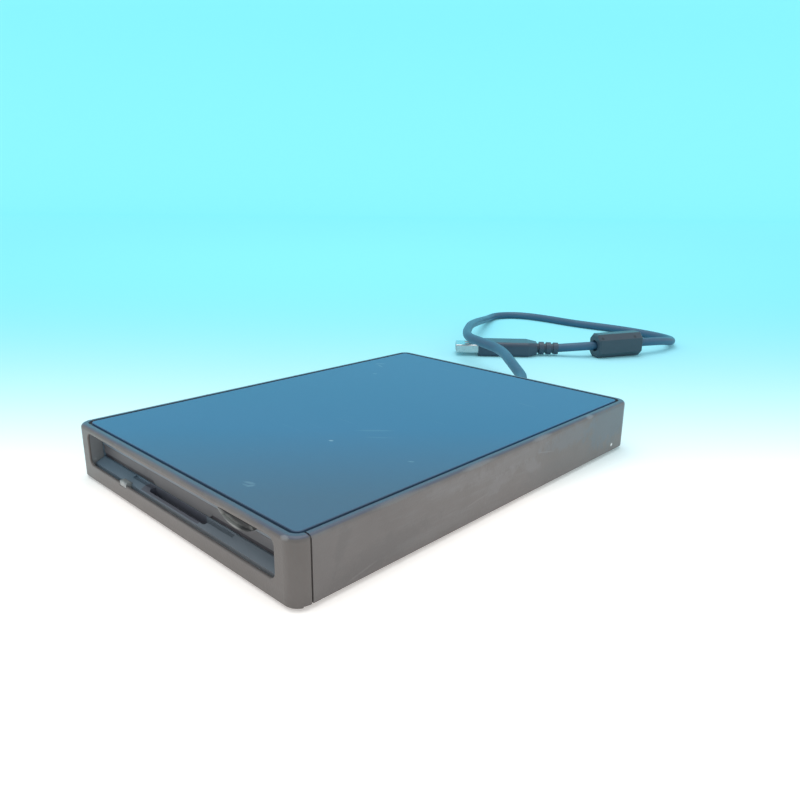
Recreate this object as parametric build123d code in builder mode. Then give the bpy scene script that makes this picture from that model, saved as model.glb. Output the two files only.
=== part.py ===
from build123d import *
import math
import os

# External 3.5-inch floppy disk drive with a captive USB cord.  Millimetres, X across,
# front at -Y, +Z up, origin on the table under the middle of the case.

os.makedirs("parts", exist_ok=True)

# ---------------------------------------------------------------- driving dimensions

# case
WIDTH = 106.0
DEPTH = 143.0
TOP_Z = 17.1
CHIN_Z = 0.75                       # underside of the front bezel's chin
RAIL_Z = 1.3                        # underside of the side walls and the bottom cover
FRONT_Y = -DEPTH / 2
REAR_Y = DEPTH / 2
CORNER_RADIUS = 4.0
EDGE_RADIUS = 1.2
WALL = 2.0
INNER_HALF = WIDTH / 2 - WALL
BEZEL_DEPTH = 4.1
SEAM_Y = FRONT_Y + BEZEL_DEPTH
CHIN_DEPTH = 2.2
ROOF_Z = 15.4
COVER_THICKNESS = 1.0
COVER_TOP_Z = RAIL_Z + COVER_THICKNESS
SEAM_WIDTH = 0.45
SEAM_DEPTH = 0.5

# metal plate let into the top
PLATE_THICKNESS = 0.8
PLATE_SEAT_Z = TOP_Z - PLATE_THICKNESS
RIM = 1.95
GROOVE = 1.0
PLATE_RADIUS = 1.6

# mouth of the front bezel
MOUTH_WIDTH = 91.6
MOUTH_LOW_Z = 5.4
MOUTH_HIGH_Z = 15.3
MOUTH_RADIUS = 2.0
LIP = 0.65

# disk slot, shelf and flap
SLOT_HALF = 45.5
SLOT_LOW_Z = 7.0
SLOT_HIGH_Z = 11.0
SHELF_FRONT_Z = 5.6
SHELF_GAP = 0.9                     # shadow gap between the lip and the shelf
SHELF_GAP_Z = 4.4
FACE_Y = SEAM_Y + 0.1               # front of the drive's own face
FACE_THICKNESS = 1.6
DRIVE_FRONT_Y = FACE_Y + FACE_THICKNESS
NOTCH_HALF = 14.3
STEP_HALF = 25.0
FLAP_THICKNESS = 0.55
FLAP_Y = FACE_Y + 0.1 + FLAP_THICKNESS / 2
FLAP_AXIS_Z = 10.68
FLAP_SIDE_Z = 8.3                   # lower edge of the flap's outer face at its two sides
FLAP_MIDDLE_Z = 7.3
FLAP_TONGUE_Z = 7.12
POCKET_BACK_Y = FACE_Y + 0.25       # back of the pockets that fingers reach into
LIGHT_X = -24.65
LIGHT_WIDTH = 3.8

# drive unit
DRIVE_WIDTH = 96.0
DRIVE_HALF = DRIVE_WIDTH / 2
DRIVE_REAR_Y = 59.0
FLOOR_Z = 2.9
FLOOR_TOP_Z = 3.6
SIDE_TOP_Z = 14.6
SIDE_SHEET = 0.8
SHEET = 0.5

# eject button
BUTTON_X = 28.5
BUTTON_WIDTH = 13.0
BUTTON_LOW_Z = 11.4
BUTTON_TOP_Z = 14.4
BUTTON_SHAFT_Y = FRONT_Y + 2.1
CAP_X = 30.1
CAP_WIDTH = 13.8
CAP_LOW_Z = 11.3
CAP_FRONT_Y = FRONT_Y + 1.0
CAP_BACK_Y = FACE_Y - 0.15
EJECT_TRAVEL = 4.0
HOLDER_DROP = 2.0

# holder, slide plate and shutter lever
HOLDER_HALF = 45.9
HOLDER_FRONT_Y = -63.0
HOLDER_REAR_Y = 28.0
HOLDER_LOW_Z = 6.5
HOLDER_TOP_Z = 11.2
CAM_YS = (-48.0, 16.0)
CAM_Z = 8.6
PIN_RADIUS = 0.8
SLIDE_HALF = 46.8
SLIDE_TOP_Z = 12.5
SLIDE_FRONT_Y = -60.0
LEVER_PIVOT = (30.3, 29.9)
LEVER_REACH = 23.3
LEVER_START = -116.2                # direction of the lever with no disk in
LEVER_Z = 11.35
RIVETS = ((-34.0, -30.0), (34.0, -30.0))

# spindle
SPINDLE_Y = -18.5
ROTOR_RADIUS = 21.0

# heads, rod and screw
HEAD_Y = 21.0
CARRIAGE_FRONT_Y = 45.0
CARRIAGE_REAR_Y = 57.0
CARRIAGE_TOP_Z = 9.2
ROD_X = 12.0
ROD_Z = 6.8
ROD_RADIUS = 1.5
SCREW_X = -19.0
SCREW_Z = 8.2
SCREW_RADIUS = 1.4
CLAMP_Y = 28.4
ARM_AXIS_Y = 54.5
ARM_AXIS_Z = 12.3
ARM_PIN_RADIUS = 0.5

# fastenings
CASE_SCREWS = ((-44.0, 64.6), (44.0, 64.6))
DRIVE_SCREWS = ((-40.0, -40.0), (40.0, -40.0), (-40.0, 40.0), (40.0, 40.0))
COVER_SCREWS = ((-45.4, -60.0), (45.4, -60.0), (-45.4, 54.0), (45.4, 54.0))
FEET = ((-42.0, -57.0), (42.0, -57.0), (-42.0, 55.0), (42.0, 55.0))

# cord, from the boot at the back to the plug
CORD_RADIUS = 2.3
EXIT_Z = 8.5
BOOT_LENGTH = 8.0
PLUG_END = (-40.85, 179.95, 4.0)
PLUG_DIRECTION = (-0.755, -0.656, 0.0)
PLUG_SIDE = (0.656, -0.755, 0.0)
RELIEF_LENGTH = 11.6
RIB_LENGTH = 2.5
RIB_PITCH = 3.85
GRIP_LENGTH = 31.8
SHELL_LENGTH = 12.0
FERRITE_END = (-24.6, 190.6, 6.5)
FERRITE_DIRECTION = (0.4772, 0.8788, 0.014)
FERRITE_SIDE = (-0.8788, 0.4772, 0.0)
FERRITE_LENGTH = 27.0
FERRITE_WIDTH = 10.8
FERRITE_HEIGHT = 12.8
CORD_ROUTE = (
    (0.0, REAR_Y - 1.5, EXIT_Z),
    (0.0, 90.2, EXIT_Z),
    (-18.5, 104.8, 12.0),
    (-35.0, 119.5, 13.2),
    (-50.0, 125.0, 13.6),
    (-66.5, 131.5, 13.6),
    (-84.0, 156.0, 13.6),
    (-101.0, 184.0, 10.0),
    (-117.0, 213.0, 6.0),
    (-129.0, 234.0, 2.8),
    (-135.2, 251.0, 2.35),
    (-125.5, 265.0, 2.35),
    (-106.0, 267.5, 2.35),
    (-80.0, 264.5, 2.35),
    (-52.0, 267.0, 2.35),
    (-32.0, 265.5, 2.35),
    (-15.0, 261.0, 2.35),
    (-6.0, 249.0, 3.4),
    (-5.2, 234.0, 6.0),
    (-8.9, 219.6, 6.96),
    (-26.1, 187.8, 6.46),
    (-43.1, 178.0, 4.0),
)

# ---------------------------------------------------------------- shared forms


def slab(low, high, mode=Mode.ADD):
    """A rectangular block between two opposite corners, in the part being built."""
    middle = tuple((a + b) / 2 for a, b in zip(low, high))
    with Locations(middle):
        Box(*(b - a for a, b in zip(low, high)), mode=mode)


def discs(points, radius, low_z, high_z, mode=Mode.ADD):
    """Upright round posts, screws' shanks or holes at each point."""
    standing = (Align.CENTER, Align.CENTER, Align.MIN)
    with Locations(*((x, y, low_z) for x, y in points)):
        Cylinder(radius, high_z - low_z, align=standing, mode=mode)


def outer_form(low_y, high_y, low_z):
    """The closed outer form of the case between two cross planes."""
    with BuildPart() as form:
        with BuildSketch(Plane.XY.offset(CHIN_Z)):
            RectangleRounded(WIDTH, DEPTH, CORNER_RADIUS)
        extrude(amount=TOP_Z - CHIN_Z)
        fillet(form.faces().sort_by(Axis.Z)[-1].edges(), EDGE_RADIUS)
        fillet(form.faces().sort_by(Axis.Z)[0].edges(), 0.4)
        with BuildSketch(Plane.XY.offset(low_z)):
            with Locations((0, (low_y + high_y) / 2)):
                Rectangle(WIDTH + 2, high_y - low_y)
        extrude(amount=TOP_Z, mode=Mode.INTERSECT)
    return form.part


def close_wound(plane, radius, wire, turns):
    """A close-wound spring about the plane's Z axis: one ring of square wire for each turn."""
    with BuildPart() as coil:
        for turn in range(turns):
            with BuildSketch(plane.offset(turn * wire * 1.15)):
                Circle(radius)
                Circle(radius - wire, mode=Mode.SUBTRACT)
            extrude(amount=wire)
        with BuildSketch(plane):
            Circle(radius - wire * 0.35)
            Circle(radius - wire, mode=Mode.SUBTRACT)
        extrude(amount=turns * wire * 1.15)
    return coil.part


# ---------------------------------------------------------------- case

bezel_form = outer_form(FRONT_Y, SEAM_Y, CHIN_Z)
with BuildPart() as front_bezel:
    add(bezel_form)
    # the chin hangs a little lower than the side walls behind it
    slab(
        (-WIDTH, FRONT_Y + CHIN_DEPTH, CHIN_Z - 1),
        (WIDTH, SEAM_Y + 1, RAIL_Z),
        mode=Mode.SUBTRACT,
    )
    # mouth
    with BuildSketch(Plane.XZ.offset(-FRONT_Y)):
        with Locations((0, (MOUTH_LOW_Z + MOUTH_HIGH_Z) / 2)):
            RectangleRounded(MOUTH_WIDTH, MOUTH_HIGH_Z - MOUTH_LOW_Z, MOUTH_RADIUS)
    extrude(amount=-BEZEL_DEPTH, mode=Mode.SUBTRACT)
    mouth_edges = front_bezel.faces().sort_by(Axis.Y)[0].inner_wires()[0].edges()
    fillet(mouth_edges, 0.35)
    # seat of the top plate
    with BuildSketch(Plane.XY.offset(PLATE_SEAT_Z)):
        RectangleRounded(WIDTH - 2 * RIM, DEPTH - 2 * RIM, PLATE_RADIUS + GROOVE)
    extrude(amount=PLATE_THICKNESS, mode=Mode.SUBTRACT)
    # pocket behind the lip for the drive's shelf, with a gap that shows as a dark line
    slab(
        (-MOUTH_WIDTH / 2, FRONT_Y + LIP, 2.9),
        (MOUTH_WIDTH / 2, SEAM_Y, MOUTH_LOW_Z + MOUTH_RADIUS),
        mode=Mode.SUBTRACT,
    )
    # seat of the light pipe in the lip
    seat_half = LIGHT_WIDTH / 2 + 0.15
    slab(
        (LIGHT_X - seat_half, FRONT_Y - 1, 4.7),
        (LIGHT_X + seat_half, FRONT_Y + LIP + 0.1, 6.0),
        mode=Mode.SUBTRACT,
    )
    # slots for the bottom cover's two tongues
    for x in (-28, 28):
        slab((x - 6.2, SEAM_Y - 1.6, RAIL_Z), (x + 6.2, SEAM_Y, RAIL_Z + 1.1), mode=Mode.SUBTRACT)
    # clip tongues that snap into the side walls
    for side in (-1, 1):
        tongue = (side * 49.4, side * 50.85)
        barb = (side * 50.7, side * 51.5)
        slab((min(tongue), SEAM_Y - 0.8, 5.5), (max(tongue), SEAM_Y + 5.6, 11.5))
        slab((min(barb), SEAM_Y + 4.0, 6.2), (max(barb), SEAM_Y + 5.2, 10.8))
front_bezel.part.label = "front_bezel"
export_step(front_bezel.part, "parts/front_bezel.step")

housing_form = outer_form(SEAM_Y, REAR_Y, RAIL_Z)
with BuildPart() as upper_housing:
    add(housing_form)
    # one open cavity under the roof, rounded at its two back corners
    with BuildSketch(Plane.XY.offset(RAIL_Z)):
        with BuildLine():
            Polyline(
                (-INNER_HALF, SEAM_Y),
                (INNER_HALF, SEAM_Y),
                (INNER_HALF, REAR_Y - WALL),
                (-INNER_HALF, REAR_Y - WALL),
                close=True,
            )
        make_face()
        fillet(vertices().group_by(Axis.Y)[-1], CORNER_RADIUS - WALL)
    extrude(amount=ROOF_Z - RAIL_Z, mode=Mode.SUBTRACT)
    # seat of the top plate
    with BuildSketch(Plane.XY.offset(PLATE_SEAT_Z)):
        RectangleRounded(WIDTH - 2 * RIM, DEPTH - 2 * RIM, PLATE_RADIUS + GROOVE)
    extrude(amount=PLATE_THICKNESS, mode=Mode.SUBTRACT)
    # crush ribs that hold the drive unit sideways
    for y in (-45, -5, 35):
        slab((-INNER_HALF - 0.5, y - 0.6, COVER_TOP_Z + 0.2), (-DRIVE_HALF, y + 0.6, ROOF_Z))
        slab((DRIVE_HALF, y - 0.6, COVER_TOP_Z + 0.2), (INNER_HALF + 0.5, y + 0.6, ROOF_Z))
    # screw bosses
    discs(CASE_SCREWS, 2.7, COVER_TOP_Z, ROOF_Z)
    discs(CASE_SCREWS, 0.9, COVER_TOP_Z, COVER_TOP_Z + 7, mode=Mode.SUBTRACT)
    # pockets for the bezel's barbs
    for x in (-INNER_HALF - 0.55, INNER_HALF - 0.05):
        slab((x, SEAM_Y + 3.9, 6.1), (x + 0.6, SEAM_Y + 5.3, 10.9), mode=Mode.SUBTRACT)
    # shadow line where the bezel meets the shell
    with BuildSketch(Plane.XZ.offset(-SEAM_Y)):
        with Locations((0, TOP_Z / 2)):
            Rectangle(WIDTH + 2, TOP_Z + 2)
        with Locations((0, TOP_Z / 2 - SEAM_DEPTH)):
            Rectangle(WIDTH - 2 * SEAM_DEPTH, TOP_Z, mode=Mode.SUBTRACT)
    extrude(amount=-SEAM_WIDTH, mode=Mode.SUBTRACT)
    # cord hole
    with BuildSketch(Plane.XZ.offset(-REAR_Y - 1)):
        with Locations((0, EXIT_Z)):
            Circle(3.7)
    extrude(amount=WALL + 2, mode=Mode.SUBTRACT)
upper_housing.part.label = "upper_housing"
export_step(upper_housing.part, "parts/upper_housing.step")

with BuildPart() as top_plate:
    with BuildSketch(Plane.XY.offset(PLATE_SEAT_Z)):
        RectangleRounded(
            WIDTH - 2 * (RIM + GROOVE), DEPTH - 2 * (RIM + GROOVE), PLATE_RADIUS
        )
    extrude(amount=PLATE_THICKNESS)
    chamfer(top_plate.faces().sort_by(Axis.Z)[-1].edges(), 0.15)
top_plate.part.label = "top_plate"
export_step(top_plate.part, "parts/top_plate.step")

with BuildPart() as bottom_cover:
    with BuildSketch(Plane.XY.offset(RAIL_Z)):
        with BuildLine():
            Polyline(
                (-INNER_HALF + 0.15, SEAM_Y + 0.1),
                (INNER_HALF - 0.15, SEAM_Y + 0.1),
                (INNER_HALF - 0.15, REAR_Y - WALL - 0.15),
                (-INNER_HALF + 0.15, REAR_Y - WALL - 0.15),
                close=True,
            )
        make_face()
        fillet(vertices().group_by(Axis.Y)[-1], CORNER_RADIUS - WALL)
    extrude(amount=COVER_THICKNESS)
    # tongues that hook under the bezel
    for x in (-28, 28):
        slab((x - 6, SEAM_Y - 1.4, RAIL_Z + 0.1), (x + 6, SEAM_Y + 0.6, COVER_TOP_Z))
    # pads that carry the drive, and posts that carry the small board behind it
    discs(DRIVE_SCREWS, 3.2, COVER_TOP_Z, FLOOR_Z)
    discs(((-28, 63.5), (20, 63.5)), 1.8, COVER_TOP_Z, 5.0)
    # seats of the feet
    discs(FEET, 4.7, RAIL_Z, RAIL_Z + 0.3, mode=Mode.SUBTRACT)
    # countersunk screw holes
    for points, shank in ((CASE_SCREWS, 1.1), (DRIVE_SCREWS, 1.0)):
        discs(points, shank, RAIL_Z, FLOOR_Z, mode=Mode.SUBTRACT)
        with Locations(Plane.XY.offset(RAIL_Z)):
            with Locations(*points):
                Cone(2.0, 1.0, 0.9, align=(Align.CENTER, Align.CENTER, Align.MIN), mode=Mode.SUBTRACT)
    # four short air slots under the motor
    for x in (-12, -4, 4, 12):
        slab((x - 1, SPINDLE_Y - 8, RAIL_Z), (x + 1, SPINDLE_Y + 8, COVER_TOP_Z), mode=Mode.SUBTRACT)
bottom_cover.part.label = "bottom_cover"
export_step(bottom_cover.part, "parts/bottom_cover.step")

with BuildPart() as rubber_feet:
    discs(FEET, 4.6, 0, RAIL_Z + 0.3)
    fillet(rubber_feet.edges().group_by(Axis.Z)[0], 0.5)
rubber_feet.part.label = "rubber_feet"
export_step(rubber_feet.part, "parts/rubber_feet.step")


def countersunk_screws(points, shank_radius, top_z):
    """Flat-headed screws driven up through the bottom cover."""
    with BuildPart() as screws:
        discs(points, shank_radius, RAIL_Z + 0.8, top_z)
        with Locations(Plane.XY.offset(RAIL_Z + 0.05)):
            with Locations(*points):
                Cone(1.85, shank_radius, 0.85, align=(Align.CENTER, Align.CENTER, Align.MIN))
                Box(2.4, 0.4, 0.5, mode=Mode.SUBTRACT)
                Box(0.4, 2.4, 0.5, mode=Mode.SUBTRACT)
    return screws.part


case_screw_set = countersunk_screws(CASE_SCREWS, 0.85, COVER_TOP_Z + 6)
with BuildPart() as case_screws:
    add(case_screw_set)
case_screws.part.label = "case_screws"
export_step(case_screws.part, "parts/case_screws.step")

drive_screw_set = countersunk_screws(DRIVE_SCREWS, 0.9, FLOOR_TOP_Z + 0.6)
with BuildPart() as drive_screws:
    add(drive_screw_set)
drive_screws.part.label = "drive_screws"
export_step(drive_screws.part, "parts/drive_screws.step")

# ---------------------------------------------------------------- drive's front face

with BuildPart() as drive_bezel:
    # upright face, as wide as the drive
    with BuildSketch(Plane.XZ.offset(-FACE_Y)):
        with Locations((0, (FLOOR_Z + SIDE_TOP_Z + 0.5) / 2)):
            Rectangle(DRIVE_WIDTH, SIDE_TOP_Z + 0.5 - FLOOR_Z)
    extrude(amount=-FACE_THICKNESS)
    # shelf that slopes up to the slot
    with BuildSketch(Plane.YZ.offset(-MOUTH_WIDTH / 2 + 0.1)):
        with BuildLine():
            Polyline(
                (FACE_Y, 3.0),
                (FRONT_Y + LIP + 0.12, 3.0),
                (FRONT_Y + LIP + 0.12, SHELF_GAP_Z),
                (FRONT_Y + LIP + SHELF_GAP, SHELF_GAP_Z),
                (FRONT_Y + LIP + SHELF_GAP, SHELF_FRONT_Z),
                (FACE_Y, SLOT_LOW_Z),
                close=True,
            )
        make_face()
    extrude(amount=MOUTH_WIDTH - 0.2)
    # disk slot
    slab(
        (-SLOT_HALF, FACE_Y - 0.01, SLOT_LOW_Z),
        (SLOT_HALF, DRIVE_FRONT_Y, SLOT_HIGH_Z),
        mode=Mode.SUBTRACT,
    )
    # wide shallow step and deep finger pocket in the shelf's back edge
    slab(
        (-STEP_HALF, FACE_Y - 1.0, SLOT_LOW_Z - 0.55),
        (STEP_HALF, POCKET_BACK_Y, SLOT_LOW_Z + 1),
        mode=Mode.SUBTRACT,
    )
    with BuildSketch(Plane.XY.offset(4.3)):
        with Locations((0, FACE_Y + 0.2)):
            RectangleRounded(2 * NOTCH_HALF, 4.0, 1.2)
        with Locations((0, POCKET_BACK_Y + 2)):
            Rectangle(2 * STEP_HALF, 4.0, mode=Mode.SUBTRACT)
    extrude(amount=SLOT_LOW_Z + 1 - 4.3, mode=Mode.SUBTRACT)
    # button hole: flat on top, bowed below
    with BuildSketch(Plane.XZ.offset(-FACE_Y)):
        with BuildLine():
            hole_half = BUTTON_WIDTH / 2 + 0.15
            Polyline(
                (BUTTON_X - hole_half, 13.6),
                (BUTTON_X - hole_half, BUTTON_TOP_Z + 0.15),
                (BUTTON_X + hole_half, BUTTON_TOP_Z + 0.15),
                (BUTTON_X + hole_half, 13.6),
            )
            ThreePointArc(
                (BUTTON_X + hole_half, 13.6),
                (BUTTON_X, BUTTON_LOW_Z - 0.15),
                (BUTTON_X - hole_half, 13.6),
            )
        make_face()
    extrude(amount=-FACE_THICKNESS, mode=Mode.SUBTRACT)
    # pivot holes of the flap
    with BuildSketch(Plane.YZ.offset(-SLOT_HALF - 0.7)):
        with Locations((FLAP_Y, FLAP_AXIS_Z)):
            Circle(0.3)
    extrude(amount=2 * SLOT_HALF + 1.4, mode=Mode.SUBTRACT)
    # channel for the light pipe
    channel_half = LIGHT_WIDTH / 2 + 0.15
    slab(
        (LIGHT_X - channel_half, FRONT_Y, 4.7),
        (LIGHT_X + channel_half, FRONT_Y + 2.0, 7),
        mode=Mode.SUBTRACT,
    )
    slab((LIGHT_X - 1.3, FRONT_Y, 3.6), (LIGHT_X + 1.3, DRIVE_FRONT_Y, 5.0), mode=Mode.SUBTRACT)
drive_bezel.part.label = "drive_bezel"
export_step(drive_bezel.part, "parts/drive_bezel.step")

with BuildPart() as slot_flap:
    with BuildSketch(Plane.XZ.offset(-FLAP_Y - FLAP_THICKNESS / 2)):
        with BuildLine():
            Polyline(
                (-45.2, FLAP_AXIS_Z + FLAP_THICKNESS / 2),
                (45.2, FLAP_AXIS_Z + FLAP_THICKNESS / 2),
                (45.2, FLAP_SIDE_Z),
                (14.9, FLAP_SIDE_Z),
                (13.6, FLAP_MIDDLE_Z),
                (-13.6, FLAP_MIDDLE_Z),
                (-14.9, FLAP_SIDE_Z),
                (-45.2, FLAP_SIDE_Z),
                close=True,
            )
        make_face()
    extrude(amount=FLAP_THICKNESS)
    fillet(
        slot_flap.edges().filter_by(Axis.X).group_by(Axis.Z)[-1], FLAP_THICKNESS / 2 - 0.01
    )
    # thin tongue behind the face that closes the rest of the slot against dust
    slab((-45.2, FLAP_Y, FLAP_TONGUE_Z), (45.2, FLAP_Y + FLAP_THICKNESS / 2, FLAP_SIDE_Z + 1))
    # pivot pins
    with BuildSketch(Plane.YZ.offset(-SLOT_HALF - 0.5)):
        with Locations((FLAP_Y, FLAP_AXIS_Z)):
            Circle(0.25)
    extrude(amount=2 * SLOT_HALF + 1.0)
slot_flap.part.label = "slot_flap"
export_step(slot_flap.part, "parts/slot_flap.step")

flap_coil = close_wound(
    Plane(origin=(-38, DRIVE_FRONT_Y + 0.9, 12.3), x_dir=(0, 1, 0), z_dir=(1, 0, 0)), 0.8, 0.3, 6
)
with BuildPart() as flap_spring:
    add(flap_coil)
    # one leg bears on the face, the other reaches down to the flap
    slab((-38, DRIVE_FRONT_Y, 12.4), (-37.7, DRIVE_FRONT_Y + 0.25, 14.2))
    slab((-38, DRIVE_FRONT_Y, 12.4), (-37.7, DRIVE_FRONT_Y + 0.5, 12.7))
    slab((-36.25, DRIVE_FRONT_Y + 0.12, 11.15), (-35.95, DRIVE_FRONT_Y + 0.42, 12.4))
flap_spring.part.label = "flap_spring"
export_step(flap_spring.part, "parts/flap_spring.step")

with BuildPart() as eject_button:
    # cap in front of the face: flat on top and bowed below
    with BuildSketch(Plane.XZ.offset(-CAP_FRONT_Y)):
        with BuildLine():
            cap_half = CAP_WIDTH / 2
            Polyline(
                (CAP_X - cap_half, 13.4),
                (CAP_X - cap_half, BUTTON_TOP_Z),
                (CAP_X + cap_half, BUTTON_TOP_Z),
                (CAP_X + cap_half, 13.4),
            )
            ThreePointArc(
                (CAP_X + cap_half, 13.4),
                (CAP_X, CAP_LOW_Z),
                (CAP_X - cap_half, 13.4),
            )
        make_face()
    extrude(amount=-(CAP_BACK_Y - CAP_FRONT_Y))
    fillet(eject_button.faces().sort_by(Axis.Y)[0].edges().filter_by(GeomType.CIRCLE), 0.7)
    # shaft through the hole in the face
    with BuildSketch(Plane.XZ.offset(-BUTTON_SHAFT_Y)):
        with BuildLine():
            button_half = BUTTON_WIDTH / 2
            Polyline(
                (BUTTON_X - button_half, 13.6),
                (BUTTON_X - button_half, BUTTON_TOP_Z),
                (BUTTON_X + button_half, BUTTON_TOP_Z),
                (BUTTON_X + button_half, 13.6),
            )
            ThreePointArc(
                (BUTTON_X + button_half, 13.6),
                (BUTTON_X, BUTTON_LOW_Z),
                (BUTTON_X - button_half, 13.6),
            )
        make_face()
    extrude(amount=-(SLIDE_FRONT_Y - 1.3 - BUTTON_SHAFT_Y))
    # dished finger face
    with BuildSketch(Plane.XZ.offset(-CAP_FRONT_Y)):
        with Locations((CAP_X + 0.4, 13.2)):
            Ellipse(5.9, 1.0)
    extrude(amount=-0.6, taper=30, mode=Mode.SUBTRACT)
eject_button.part.label = "eject_button"
export_step(eject_button.part, "parts/eject_button.step")

with BuildPart() as light_pipe:
    # lens at the lip and a stem that runs back under the shelf to the lamp
    light_half = LIGHT_WIDTH / 2
    slab(
        (LIGHT_X - light_half, FRONT_Y + 0.05, 4.8),
        (LIGHT_X + light_half, FRONT_Y + 1.9, 6.3),
    )
    fillet(light_pipe.edges().filter_by(Axis.X).group_by(Axis.Z)[-1], 0.5)
    slab((LIGHT_X - 1.2, FRONT_Y + LIP + 0.2, 3.7), (LIGHT_X + 1.2, DRIVE_FRONT_Y, 4.9))
light_pipe.part.label = "light_pipe"
export_step(light_pipe.part, "parts/light_pipe.step")

with BuildPart() as status_led:
    slab(
        (LIGHT_X - 1.5, DRIVE_FRONT_Y + 0.1, FLOOR_TOP_Z),
        (LIGHT_X + 1.5, DRIVE_FRONT_Y + 1.5, 5.0),
    )
    with BuildSketch(Plane.XZ.offset(-(DRIVE_FRONT_Y + 1.5))):
        with Locations((LIGHT_X, 4.3)):
            Circle(0.6)
    extrude(amount=-0.8)
status_led.part.label = "status_led"
export_step(status_led.part, "parts/status_led.step")

# ---------------------------------------------------------------- drive's frame

with BuildPart() as chassis:
    # folded sheet tray: a floor and two sides
    with BuildSketch(Plane.XZ.offset(-DRIVE_REAR_Y)):
        with Locations((0, (FLOOR_Z + SIDE_TOP_Z) / 2)):
            Rectangle(DRIVE_WIDTH, SIDE_TOP_Z - FLOOR_Z)
        with Locations((0, (FLOOR_TOP_Z + SIDE_TOP_Z + 1) / 2)):
            Rectangle(DRIVE_WIDTH - 2 * SIDE_SHEET, SIDE_TOP_Z + 1 - FLOOR_TOP_Z, mode=Mode.SUBTRACT)
    extrude(amount=DRIVE_REAR_Y - DRIVE_FRONT_Y)
    # back flange with a window for the ribbon
    slab((-DRIVE_HALF, DRIVE_REAR_Y - SIDE_SHEET, FLOOR_Z), (DRIVE_HALF, DRIVE_REAR_Y, 9.5))
    slab((-36, DRIVE_REAR_Y - 2, 5.2), (-24, DRIVE_REAR_Y + 1, 7.6), mode=Mode.SUBTRACT)
    # ears that take the cover's screws
    for x, y in COVER_SCREWS:
        inner_x = math.copysign(DRIVE_HALF - 5, x)
        outer_x = math.copysign(DRIVE_HALF - 0.4, x)
        low_x, high_x = sorted((inner_x, outer_x))
        slab((low_x, y - 3, SIDE_TOP_Z - 0.7), (high_x, y + 3, SIDE_TOP_Z))
    discs(COVER_SCREWS, 0.8, SIDE_TOP_Z - 0.7, SIDE_TOP_Z, mode=Mode.SUBTRACT)
    # stand-offs under the control board
    discs(((20, 36), (44, 36), (20, 55), (44, 55)), 1.4, FLOOR_TOP_Z, 4.6)
    # opening for the motor, threads for the screws from below
    discs(((0, SPINDLE_Y),), ROTOR_RADIUS + 1, FLOOR_Z, FLOOR_TOP_Z, mode=Mode.SUBTRACT)
    discs(DRIVE_SCREWS, 0.95, FLOOR_Z, FLOOR_TOP_Z, mode=Mode.SUBTRACT)
    # upright slots that guide the holder's pins
    with BuildSketch(Plane.YZ.offset(-DRIVE_HALF - 1)):
        for y in CAM_YS:
            with Locations((y, CAM_Z - HOLDER_DROP / 2)):
                SlotCenterToCenter(HOLDER_DROP, 2 * PIN_RADIUS + 0.2, rotation=90)
    extrude(amount=DRIVE_WIDTH + 2, mode=Mode.SUBTRACT)
chassis.part.label = "chassis"
export_step(chassis.part, "parts/chassis.step")

with BuildPart() as drive_cover:
    with BuildSketch(Plane.XY.offset(SIDE_TOP_Z)):
        with Locations((0, (DRIVE_FRONT_Y + DRIVE_REAR_Y) / 2)):
            Rectangle(DRIVE_WIDTH, DRIVE_REAR_Y - DRIVE_FRONT_Y)
        # clearance windows over the head arm and the slide's front tab
        with Locations((0, 34)):
            RectangleRounded(22, 40, 3, mode=Mode.SUBTRACT)
        with Locations((-30, 20), (-30, -45)):
            SlotOverall(18, 5, mode=Mode.SUBTRACT)
        with Locations(*COVER_SCREWS):
            Circle(0.9, mode=Mode.SUBTRACT)
    extrude(amount=SHEET)
drive_cover.part.label = "drive_cover"
export_step(drive_cover.part, "parts/drive_cover.step")

with BuildPart() as cover_screws:
    discs(COVER_SCREWS, 0.75, SIDE_TOP_Z - 0.7, SIDE_TOP_Z + SHEET)
    discs(COVER_SCREWS, 1.6, SIDE_TOP_Z + SHEET, SIDE_TOP_Z + SHEET + 0.25)
cover_screws.part.label = "cover_screws"
export_step(cover_screws.part, "parts/cover_screws.step")

# ---------------------------------------------------------------- loading mechanism

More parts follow.
